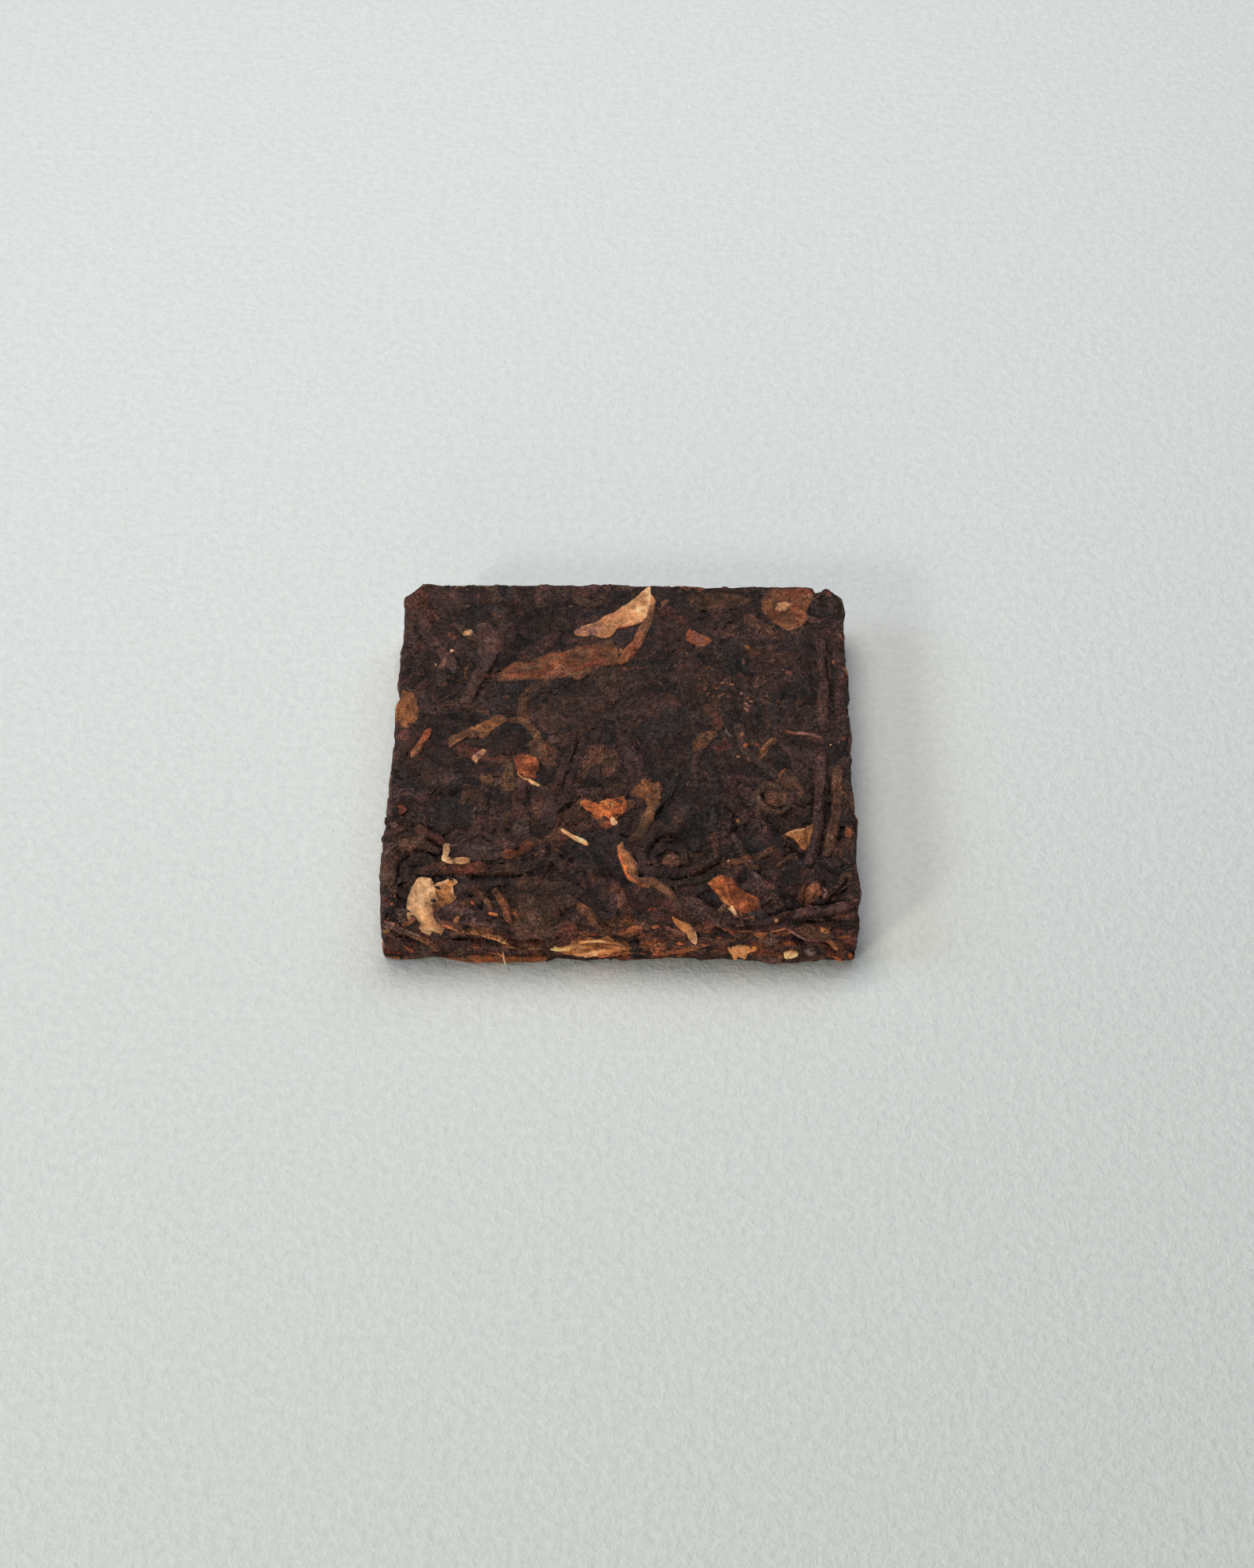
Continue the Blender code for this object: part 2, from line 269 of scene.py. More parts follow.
def settle(points):
    """The tablet's own unevenness, which moves whatever lies there: bumps, corners, notch."""
    x, y, z = points[..., 0].copy(), points[..., 1].copy(), points[..., 2].copy()
    edge = ramp(np.maximum(np.abs(x), np.abs(y)) / HALF, 0.86, 0.14) ** 2
    for side, middle, shift, width in SIDE_BUMPS:
        sign = -1 if side == "left" else 1
        near = ramp(sign * x / HALF, 0.8, 0.2)
        x = x + sign * shift * near * bell(y - middle, width)
    low = np.clip(1 - z / (0.7 * THICK), 0, 1)
    for middle, shift, width in FOOT_BUMPS:
        near = ramp(-y / HALF, 0.9, 0.1)
        y = y - shift * near * low * bell(x - middle, width)
    angle = np.arctan2(y, x)
    flat = np.maximum(np.hypot(x, y), 1e-6)
    rough = edge_noise(angle * HALF, z * 1.6) + 0.6 * edge_noise(angle * HALF * 3.1, z * 3 + 40)
    push = EDGE_ROUGHNESS * edge * rough / flat
    x, y = x * (1 + push), y * (1 + push)
    square = HALF / np.maximum(np.abs(np.cos(angle)), np.abs(np.sin(angle)))
    for corner, leg in CUT_CORNERS:
        cut = (2 * HALF - leg) / np.sqrt(2) / np.maximum(np.cos(angle - corner), 0.5)
        short = np.clip(1 - cut / square + CUT_PLAY, 0, 1) * (flat / square) ** CUT_FALLOFF
        x, y = x * (1 - short), y * (1 - short)
    notch = bell(x - NOTCH_X, NOTCH_WIDTH) * ramp(y, NOTCH_FRONT, NOTCH_LENGTH) ** 2
    y = y - NOTCH_DEPTH * notch * ramp(z, NOTCH_LOW, NOTCH_RISE)
    z = z + LEVEL_WAVES * level_noise(x, y) * np.clip(z / THICK - 0.5, 0, 1) * 2
    z = np.where(z > REST, z, REST * np.exp(np.minimum(z / REST - 1, 0)))
    return np.stack([x, y, z], -1)


# ---------------------------------------------------------------- one face and its pile

SOFT_REACH = 1.0 / MAP_CELL  # how far away leaves decide what a leaf stands out from, in cells
BITE = 0.06  # how deep a leaf may sink into what lies under it
SHOWS = 0.03  # a point shows if it is no further than this under the top of the pile
LEAST_SHOWN = 2  # points that a leaf must show, or else it is left out
DEEPEST = 0.9  # under the face
OPEN_SHARE = 0.3  # of a crease stays open when a leaf is laid over it
LUMPS, KNOBS = 0.09, 0.06  # heights of the soft swellings, broad and narrow
LOOSE_FROM, LOOSE_OVER = 2, 10  # where the leaves begin to lie looser towards the front
LIP_REACH = 1.2  # of the raised lip behind the front edge
LIGHT_BY_SWELL, LIGHT_BY_RISE = 3.4, 2.0  # painted light and shade: higher is paler, lower darker


@lru_cache(maxsize=None)
def stretch(count, fine):
    """The matrix that fills in straight between so many samples."""
    place = np.linspace(0, count - 1, fine)
    low = np.minimum(place.astype(int), count - 2)
    matrix = np.zeros((fine, count))
    matrix[np.arange(fine), low] = 1 - (place - low)
    matrix[np.arange(fine), low + 1] += place - low
    return matrix


def blur(grid, width, wraps):
    """A Gaussian blur with its width in cells."""
    pad = 0 if wraps else int(3 * width)
    wide = np.pad(grid, ((pad, pad), (int(3 * width),) * 2), mode="edge")
    fu = np.fft.fftfreq(wide.shape[0])[:, None]
    fv = np.fft.rfftfreq(wide.shape[1])[None, :]
    soft = np.exp(-2 * (np.pi * width) ** 2 * (fu**2 + fv**2))
    wide = np.fft.irfft2(np.fft.rfft2(wide) * soft, s=wide.shape)
    return wide[pad : pad + grid.shape[0], int(3 * width) : int(3 * width) + grid.shape[1]]


def soften(grid, closed):
    """One pass of smoothing over a thing's own grid of points."""
    ends = (grid[:, -1:], grid[:, :1]) if closed else (grid[:, :1], grid[:, -1:])
    wide = np.concatenate([ends[0], grid, ends[1]], 1)
    grid = 0.5 * grid + 0.25 * (wide[:, :-2] + wide[:, 2:])
    tall = np.concatenate([grid[:1], grid, grid[-1:]], 0)
    return 0.5 * grid + 0.25 * (tall[:-2] + tall[2:])


class Leaf:
    """One thing laid on a face: its grid of points, their heights and their colours.

    A closed one is rings round a middle point, any other is a ribbon. Pressing adds its height
    at rest and its painted shade, which darkens places that lie deep or in a crease.
    """

    def __init__(self, kind, u, v, height, thin, tint, grain, closed):
        self.kind = kind
        self.u, self.v, self.height = u, v, height
        self.thin, self.tint, self.grain, self.closed = thin, tint, grain, closed
        self.rest = self.hollow = None

    def grids(self):
        """All that is known of each of its points."""
        return self.u, self.v, self.rest, self.tint, self.grain, self.hollow


class Face:
    """A face of the tablet, as a height map of all that has been laid on it so far.

    place turns a point over the map into one over the tablet, and wraps says that the map goes
    all the way round. When the pile is pressed, sink lowers all of it, proud is how far a leaf
    can stand out, give is how far at most a deep one is brought up, lip is what the front edge
    stands out more, loose is how much less the front is pressed, and lumpy is the strength of
    the soft swellings. pale and peel are how light leaves and peel are, and fine scales the
    steps of their grids.
    """

    def __init__(self, name, low, high, place, wraps=False, sink=0.0, proud=0.12, give=0.13,
                 lip=0.0, loose=0.0, pale=1.0, peel=None, fine=1.0, lumpy=1.0):
        self.name, self.place, self.wraps = name, place, wraps
        self.sink, self.proud, self.give, self.lip = sink, proud, give, lip
        self.loose, self.lumpy, self.fine = loose, lumpy, fine
        self.pale, self.peel = pale, peel or pale
        self.low = np.array(low)
        self.size = np.ceil((np.array(high) - self.low) / MAP_CELL).astype(int)
        self.pile = np.zeros(self.size)
        self.creases = np.zeros(self.size)
        self.leaves = []

    def cells(self, u, v):
        """The cells of the map that points lie in."""
        i = np.floor((u - self.low[0]) / MAP_CELL).astype(int)
        j = np.floor((v - self.low[1]) / MAP_CELL).astype(int)
        i = i % self.size[0] if self.wraps else np.clip(i, 0, self.size[0] - 1)
        return i, np.clip(j, 0, self.size[1] - 1)

    def lay(self, kind, u, v, body, tint, thin, stiff, closed, grain):
        """Lay a grid of points on the pile: it rests on what is high, and is a bit stiff."""
        under = self.pile[self.cells(u, v)]
        base = under
        for _ in range(stiff):
            base = soften(base, closed)
        base = np.maximum(base, under - BITE)
        if closed:
            base[0] = base[0].mean()
        height = base + body
        self.cover(u, v, height, closed)
        self.leaves.append(Leaf(kind, u, v, height, thin, tint, grain, closed))

    def cover(self, u, v, height, closed):
        """Raise the pile to the thing's own height where it lies, and close most creases there."""
        if closed:
            u, v, height = (np.concatenate([g, g[:, :1]], 1) for g in (u, v, height))
        long = np.hypot(np.diff(u, axis=0), np.diff(v, axis=0)).sum(0).max()
        wide = np.hypot(np.diff(u, axis=1), np.diff(v, axis=1)).sum(1).max()
        rows = stretch(u.shape[0], max(2, int(long / MAP_CELL * 1.3) + 1))
        columns = stretch(u.shape[1], max(2, int(wide / MAP_CELL * 1.3) + 1)).T
        u, v, height = (rows @ g @ columns for g in (u, v, height))
        cells = self.cells(u, v)
        np.maximum.at(self.pile, cells, height)
        self.creases[cells] *= OPEN_SHARE

    def score(self, stops, width, depth):
        """Open a crease along a path, through all that lies there so far."""
        path, along = smooth_path(stops, MAP_CELL / 2)
        ends = np.minimum(1, np.minimum(along, along[-1] - along) / (0.25 * along[-1]))
        run = direction(path)
        for offset in np.arange(-width, width + MAP_CELL / 2, MAP_CELL / 2):
            cells = self.cells(path[:, 0] - run[:, 1] * offset, path[:, 1] + run[:, 0] * offset)
            np.maximum.at(self.creases, cells, depth * ends * bell(offset, 0.6 * width))

    def swell(self, u, v):
        """The soft lumps of the pressed mass, which lift or sink all that lies there."""
        lumps = LUMPS * lump_noise(u, v) + KNOBS * knob_noise(u, v)
        return self.lumpy * lumps * (1 + 0.3 * self.near(v))

    def near(self, v):
        """How far towards the front a place is: there the leaves were pressed least."""
        return self.loose * ramp(-v, LOOSE_FROM, LOOSE_OVER)

    def press(self):
        """Flatten the pile: what stands up is squeezed, and the creases stay."""
        level = blur(self.pile, SOFT_REACH, self.wraps)
        kept = []
        for leaf in self.leaves:
            cells = self.cells(leaf.u, leaf.v)
            if (leaf.height > self.pile[cells] - SHOWS).sum() < LEAST_SHOWN:
                continue
            rise = leaf.height - level[cells]
            deep = np.maximum(-rise, 0)
            near = self.near(leaf.v)
            down = deep**2 / (deep + self.give * (1 + near)) + self.creases[cells]
            edge = np.clip(LIP_REACH - HALF - leaf.v, 0, 1)
            proud = self.proud * (1 + near) + self.lip * edge
            up = proud * (1 - np.exp(-np.maximum(rise, 0) / proud))
            swell = self.swell(leaf.u, leaf.v)
            leaf.rest = np.maximum(up - down, -DEEPEST) + swell - self.sink
            # Painted light and shade: what stands out is painted lighter, what lies low darker
            shade = np.exp(LIGHT_BY_SWELL * swell + LIGHT_BY_RISE * (up - proud / 2))
            pale = self.peel if leaf.kind.startswith("peel") else self.pale
            leaf.tint = leaf.tint * pale * shade[..., None]
            # Painted shade: the leaf is painted darker where it lies deep or in a crease
            leaf.hollow = ramp(deep, 0.12, 0.5) + np.clip(self.creases[cells] / 0.25, 0, 1)
            kept.append(leaf)
        self.leaves = kept


# ---------------------------------------------------------------- shapes of leaves

CURVE_STEP = 0.05  # of the way from stop to stop, when a curve is worked out
OUTLINE_POINTS = (12, 150)  # fewest and most


def smooth_path(stops, step):
    """Points along a smooth curve through the stops, evenly spaced; columns are kept."""
    stops = np.array(stops, float)
    ends = np.concatenate([2 * stops[:1] - stops[1:2], stops, 2 * stops[-1:] - stops[-2:-1]])
    points = []
    for before, here, after, beyond in zip(ends, ends[1:], ends[2:], ends[3:]):
        t = np.arange(0, 1, CURVE_STEP)[:, None]
        point = 2 * here + (after - before) * t
        point = point + (2 * before - 5 * here + 4 * after - beyond) * t**2
        points.append((point + (3 * here - before - 3 * after + beyond) * t**3) / 2)
    fine = np.concatenate([*points, stops[-1:]])
    along = np.concatenate([[0], np.hypot(*np.diff(fine[:, :2], axis=0).T).cumsum()])
    even = np.linspace(0, along[-1], max(4, int(along[-1] / step) + 1))
    return np.stack([np.interp(even, along, column) for column in fine.T], 1), even


def direction(path):
    """Which way a path runs at each of its points."""
    run = np.gradient(path[:, :2], axis=0)
    return run / np.maximum(np.hypot(*run.T)[:, None], 1e-9)


# How a torn edge wanders: shares of noise and how often each waves in a millimetre
TORN = ((1.0, 0.9), (0.8, 2.2), (0.5, 4.5))
GRIT = 3.3  # how often the leaves' fine grit waves in a millimetre

# How far the underside of a shell lies under its lowest point
STRAND_DEPTH, FLAKE_DEPTH, CHIP_DEPTH = 0.14, 0.1, 0.16
STRAND_COLUMN = 0.17  # width of one column of a strand's grid
TAPER = 0.45  # how much narrower a strand's ends are
FLAKE_CELL = 0.34  # size of the cells of a flake's grid
OWN_SHADE, OWN_HUE = 0.12, 0.04  # how much leaves of one tint differ
GRAIN_STEP = 3.7  # between the grains of two leaves, so that no two look the same


class Maker:
    """Makes the leaves of one face with its own seeded random numbers.

    In all it makes, thick is the height of the body, ragged how far the outline wanders, stiff
    how many times its bed is smoothed, and fade how much of the edge fades into dust.
    """

    def __init__(self, face, seed):
        self.face = face
        self.rng = np.random.default_rng(seed)
        self.ripple = Noise(self.rng, 1.0, 97)
        self.count = 0

    def own_shade(self, colour, spread):
        """A leaf's own lightness and hue, near the tint's."""
        return colour * np.exp(self.rng.normal(0, spread)) * np.exp(self.rng.normal(0, OWN_HUE, 3))

    def grain(self, along, across):
        """Coordinates along and across a leaf, in which its fibres are drawn."""
        self.count += 1
        along, across = np.broadcast_arrays(along, across)
        return np.stack([along, across, np.full(along.shape, self.count * GRAIN_STEP)], -1)

    def strand(self, stops, width=1.0, thick=0.12, tint="dark", ridges=2.0, ragged=0.12,
               crown=0.75, kind="strands", stiff=4, spread=OWN_SHADE, step=0.25, lumpy=1.0,
               fade=0.4):
        """A long leaf along a path, with ridges that run along it.

        A stop may hold a width of its own. Its tints run from its first stop to its last.
        """
        rng = self.rng
        path, along = smooth_path(stops, step * self.face.fine)
        t = along / along[-1]
        run = direction(path)
        seed = rng.uniform(0, 90)
        # Its outline: tapered ends, torn edges, and a sway from side to side
        wide = np.full(len(t), width) if path.shape[1] < 3 else path[:, 2]
        ends = np.clip(np.minimum(t, 1 - t) * along[-1] / (0.9 * wide.mean()), 0, 1)
        across = int(np.clip(wide.max() / STRAND_COLUMN + 2, 5, 14))
        s = np.linspace(-1, 1, across)
        torn = np.stack([self.ripple(along * 1.9, seed + 9 * side) for side in (0, 1)], 1)
        sway = ragged * 0.5 * self.ripple(along * 1.3 + 31, seed + 3) * wide
        half = wide / 2 * (1 - TAPER * (1 - ends) ** 2)
        edge = 1 + ragged * (torn[:, :1] * (1 - s) / 2 + torn[:, 1:] * (1 + s) / 2)
        offset = s[None, :] * half[:, None] * edge + sway[:, None]
        u = path[:, 0, None] - run[:, 1, None] * offset
        v = path[:, 1, None] + run[:, 0, None] * offset
        # Its body: a crown, ridges, lumps and grit
        phase = seed + rng.normal(0, 0.5) * along[:, None]
        waves = np.cos(np.pi * ridges * s[None, :] + phase) * (1 - s[None, :] ** 6)
        lumps = self.ripple(along[:, None] * 1.1 + seed, offset * 1.5 + seed)
        grit = self.ripple(u * GRIT, v * GRIT)
        body = thick * ((1 - crown) + crown * (1 - np.abs(s[None, :]) ** 3.5))
        body = body * (0.7 + 0.3 * ends[:, None]) + 0.22 * thick * waves
        body = body + lumpy * (0.15 * thick * lumps + 0.014 * grit)
        colour = self.own_shade(tint_along(tint, t), spread)[:, None, :]
        colour = faded(colour, fade * np.clip(np.abs(s[None, :]) ** 4 + 0.3 * lumps, 0, 1))
        # Painted light and shade: ridges and lumps painted lighter, furrows darker
        shade = colour * (1 + 0.12 * waves + 0.1 * lumps)[..., None]
        grain = self.grain(along[:, None], offset)
        self.face.lay(kind, u, v, body, shade, STRAND_DEPTH, stiff, False, grain)

    def flake(self, middle, size, heading=0.0, thick=0.1, tint="dark", corners=0, ragged=0.2,
              vein=0.3, kind="flakes", stiff=4, spread=OWN_SHADE, cup=0.0, fade=0.45):
        """A flat piece of leaf with a torn outline, a vein and a cupped edge."""
        rng = self.rng
        seed = rng.uniform(0, 90)
        mean = np.mean(size)
        cell = FLAKE_CELL * self.face.fine
        spokes = int(np.clip(np.pi * mean / cell, 7, 56))
        rings = int(np.clip(mean / 2 / cell * 0.9, 2, 13))
        angle = np.arange(spokes) * 2 * np.pi / spokes
        reach = np.ones(spokes)
        if corners:
            slot = 2 * np.pi / corners
            reach = 0.4 + 0.6 * np.cos(np.pi / corners) / np.cos(angle % slot - slot / 2)
        x, y = np.cos(angle), np.sin(angle)
        # Its outline: from a polygon or a round, torn in three sizes of bites
        torn = self.ripple(1.3 * x + seed, 1.3 * y + seed)
        torn = torn + 0.6 * self.ripple(3.1 * x + seed, 3.1 * y + seed + 7)
        torn = torn + 0.35 * self.ripple(8 * x + seed, 8 * y + seed + 3)
        reach = reach * (1 + ragged * torn)
        share = np.linspace(0, 1, rings + 1)[:, None] ** 0.85
        a = size[0] / 2 * share * (reach * x)[None, :]
        b = size[1] / 2 * share * (reach * y)[None, :]
        c, s = np.cos(heading), np.sin(heading)
        u, v = middle[0] + a * c - b * s, middle[1] + a * s + b * c
        # Its body: a thin edge, lumps, grit, and a vein with ribs
        lumps = self.ripple(a * 0.8 + seed, b * 0.8 + seed)
        grit = self.ripple(u * GRIT, v * GRIT)
        rib = -bell(b, 0.09 * size[1]) + 0.5 * np.cos(7 * (np.abs(b) + 0.6 * a) / size[1] * 2)
        body = thick * (0.25 + 0.75 * (1 - share**4)) + 0.03 * lumps + 0.02 * grit
        body = body + vein * 0.06 * rib + cup * share**3
        colour = self.own_shade(tint_along(tint, np.zeros(u.shape)), spread)
        colour = faded(colour, fade * np.clip(share**4 + 0.3 * lumps, 0, 1))
        # Painted light and shade: lumps and ribs painted lighter, the vein's groove darker
        shade = colour * (1 + 0.1 * lumps + 0.2 * vein * rib)[..., None]
        self.face.lay(kind, u, v, body, shade, FLAKE_DEPTH, stiff, True, self.grain(a, b))

    def chip(self, kind, stops, thick=0.2, tint="orange", blotch="flame", rim=None, rim_from=0.0,
             rim_spread=np.pi, rim_wide=0.4, pits=0.07, ragged=0.08, stiff=6, cell=0.14,
             speckle=0.8, doming=0.05, fade=0.0, dust=1.0, middle=None):
        """A torn piece of peel with a known outline, blotches, a paler rim and pits.

        Its tints run from left to right. The rim lies round the direction rim_from, as far as
        rim_spread to both sides. speckle is how strongly the blotches show, doming how high the
        middle stands, and dust how many crumbs of leaf lie round the edge.
        """
        rng = self.rng
        seed = rng.uniform(0, 90)
        line, around = outline_of(stops, cell)
        middle = line.mean(0) if middle is None else np.array(middle)
        away = line - middle
        length = np.hypot(*away.T)
        torn = sum(share * self.ripple(*(line.T * often + seed)) for share, often in TORN)
        away *= (1 + ragged * torn / np.maximum(length, 0.1))[:, None]
        angle = np.arctan2(away[:, 1], away[:, 0])
        rings = int(np.clip(length.mean() / cell, 3, 16))
        # Its body: domed, lumpy and pitted
        share = np.linspace(0, 1, rings + 1)[:, None] ** 0.9
        u, v = middle[0] + share * away[None, :, 0], middle[1] + share * away[None, :, 1]
        lumps = self.ripple(u * 1.1 + seed, v * 1.1)
        fine = self.ripple(u * 2.6, v * 2.6 + seed)
        grit = self.ripple(u * 5.2 + seed, v * 5.2)
        body = thick * (0.5 + 0.5 * (1 - share**4)) + doming * (1 - share**2)
        body = body + 0.05 * lumps + pits * np.minimum(0, fine) + 0.4 * pits * grit
        # Its colour: tints from left to right, blotches, a rim, and dust towards the edge
        low = line[:, 0].min()
        base = tint_along(tint, (u - low) / (line[:, 0].max() - low))
        mixed = np.clip(0.5 + speckle * (0.9 * lumps + 0.9 * fine + 0.5 * grit), 0, 1)
        colour = base + (linear(TINTS[blotch]) - base) * mixed[..., None]
        near = (1 - share) * length[None, :]
        if rim:
            turned = np.abs((angle - rim_from + np.pi) % (2 * np.pi) - np.pi)
            within = np.clip((rim_spread - turned) / 0.35, 0, 1)[None, :]
            band = within * np.clip(1.3 - near / rim_wide + 0.6 * fine + 0.3 * grit, 0, 1)
            colour = colour * (1 - band[..., None]) + linear(TINTS[rim]) * band[..., None]
            body = body + 0.06 * band
        if fade:
            colour = faded(colour, 0.85 * np.clip(1.1 - near / fade + 0.5 * fine, 0, 1))
        # Painted light: where the grit and lumps stand higher, the peel is painted lighter
        shade = colour * (1 + 0.16 * grit + 0.1 * lumps)[..., None]
        grain = self.grain(u - middle[0], v - middle[1])
        self.face.lay(kind, u, v, body, shade, CHIP_DEPTH, stiff, True, grain)
        for _ in range(rng.poisson(0.4 * dust * around)):
            spot = line[rng.integers(len(line))] + rng.normal(0, 0.1, 2)
            self.crumb(spot, 0.34 * rng.lognormal(0, 0.35))

    def crumb(self, spot, size, tints=("dark", "mid", "purple", "slate", "brown")):
        """A loose bit of leaf."""
        rng = self.rng
        self.flake(spot, (size, size * rng.uniform(0.4, 0.9)), rng.uniform(0, 6.3), 0.06,
                   rng.choice(tints), ragged=0.3, vein=0, kind="crumbs", stiff=1, spread=0.2)


def outline_of(stops, cell):
    """A closed outline through the stops in even steps, its corners a bit rounded; its length."""
    corners = np.array([*stops, stops[0]], float)
    along = np.concatenate([[0], np.hypot(*np.diff(corners, axis=0).T).cumsum()])
    count = int(np.clip(along[-1] / cell, *OUTLINE_POINTS))
    even = np.arange(count) / count * along[-1]
    line = np.stack([np.interp(even, along, column) for column in corners.T], 1)
    for _ in range(2):
        line = (np.roll(line, 1, 0) + 2 * line + np.roll(line, -1, 0)) / 4
    return line, along[-1]


# ---------------------------------------------------------------- shells and pieces


@lru_cache(maxsize=None)
def ribbon_faces(rows, columns):
    """The faces of a closed shell whose top is a grid and whose underside is one strip."""
    i, j = np.meshgrid(np.arange(rows - 1), np.arange(columns - 1), indexing="ij")
    at = (i * columns + j).ravel()
    quads = [np.stack([at, at + columns, at + columns + 1, at + 1], 1)]
    r = np.arange(rows - 1)
    first, last = r * columns, r * columns + columns - 1
    low_left, low_right = rows * columns + r, rows * columns + rows + r
    quads.append(np.stack([first, low_right, low_right + 1, first + columns], 1))
    quads.append(np.stack([last, last + columns, low_left + 1, low_left], 1))
    quads.append(np.stack([low_right, low_left, low_left + 1, low_right + 1], 1))
    c = np.arange(columns - 1)
    right, left = rows * columns + rows, rows * columns
    start = np.stack([np.full(columns - 1, right), c, c + 1], 1)
    far = (rows - 1) * columns
    stop = np.stack([np.full(columns - 1, right + rows - 1), far + c + 1, far + c], 1)
    caps = [[right, columns - 1, left], [right + rows - 1, left + rows - 1, far + columns - 1]]
    return np.concatenate(quads), np.concatenate([start, stop, caps])


@lru_cache(maxsize=None)
def patch_faces(rings, spokes):
    """The faces of a closed shell whose top is rings round a middle point."""
    a = np.arange(spokes)
    b = (a + 1) % spokes
    quads = []
    for ring in range(rings - 1):
        inner, outer = 1 + ring * spokes, 1 + (ring + 1) * spokes
        quads.append(np.stack([inner + a, outer + a, outer + b, inner + b], 1))
    rim, low = 1 + (rings - 1) * spokes, 1 + rings * spokes
    quads.append(np.stack([rim + a, low + a, low + b, rim + b], 1))
    middle = np.stack([np.zeros(spokes, int), 1 + a, 1 + b], 1)
    under = np.stack([np.full(spokes, low + spokes), low + b, low + a], 1)
    return np.concatenate(quads), np.concatenate([middle, under])


def shell(leaf, face):
    """A leaf's closed shell: its points on the tablet, colours, grain, painted shade and faces."""
    h = leaf.rest
    if leaf.closed:
        tops = [g[1:].reshape(-1, *g.shape[2:]) for g in leaf.grids()]
        mids = [g[:1, 0] for g in leaf.grids()]
        rims = [g[-1] for g in leaf.grids()]
        rims[2] = rims[2] - leaf.thin
        lows = list(mids)
        lows[2] = np.array([h.min() - leaf.thin])
        parts = [np.concatenate(group) for group in zip(mids, tops, rims, lows)]
        quads, triangles = patch_faces(h.shape[0] - 1, h.shape[1])
    else:
        floor = h.min(1) - leaf.thin
        tops = [g.reshape(-1, *g.shape[2:]) for g in leaf.grids()]
        lefts = [g[:, -1] for g in leaf.grids()]
        rights = [g[:, 0] for g in leaf.grids()]
        lefts[2] = rights[2] = floor
        parts = [np.concatenate(group) for group in zip(tops, lefts, rights)]
        quads, triangles = ribbon_faces(*h.shape)
    places = settle(face.place(parts[0], parts[1], parts[2]))
    return places, parts[3], parts[4], parts[5], quads, triangles


SHARP_ANGLE = 50  # degrees between faces whose edge is drawn sharp


def make_mesh(name, shells, material):
    """Join shells into one mesh, with their colours and grain as attributes."""
    starts = np.cumsum([0] + [len(one[0]) for one in shells])
    places, tints, grains, painted_shades = (np.concatenate([one[k] for one in shells]) for k in range(4))
    quads = np.concatenate([one[4] + start for one, start in zip(shells, starts)])
    triangles = np.concatenate([one[5] + start for one, start in zip(shells, starts)])
    mesh = bpy.data.meshes.new(name)
    mesh.vertices.add(len(places))
    mesh.vertices.foreach_set("co", (places * MM).astype(np.float32).ravel())
    corners = np.concatenate([quads.ravel(), triangles.ravel()])
    mesh.loops.add(len(corners))
    mesh.loops.foreach_set("vertex_index", corners.astype(np.int32))
    sizes = np.concatenate([np.full(len(quads), 4), np.full(len(triangles), 3)])
    mesh.polygons.add(len(sizes))
    mesh.polygons.foreach_set("loop_start", (sizes.cumsum() - sizes).astype(np.int32))
    mesh.update(calc_edges=True)
    colours = np.concatenate([np.clip(tints, 0.002, 1), np.ones((len(tints), 1))], 1)
    # tint holds colour with painted light and shade in it; the third is painted shade in hollows
    for label, kind, key, values in (
        ("tint", "FLOAT_COLOR", "color", colours),
        ("grain", "FLOAT_VECTOR", "vector", grains),
        ("hollow", "FLOAT", "value", painted_shades),
    ):
        attribute = mesh.attributes.new(label, kind, "POINT")
        attribute.data.foreach_set(key, values.astype(np.float32).ravel())
    mesh.shade_smooth()
    mesh.set_sharp_from_angle(angle=np.radians(SHARP_ANGLE))
    mesh.materials.append(material)
    piece = bpy.data.objects.new(name, mesh)
    bpy.context.scene.collection.objects.link(piece)
    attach(piece, "root")
    return piece


# ---------------------------------------------------------------- materials


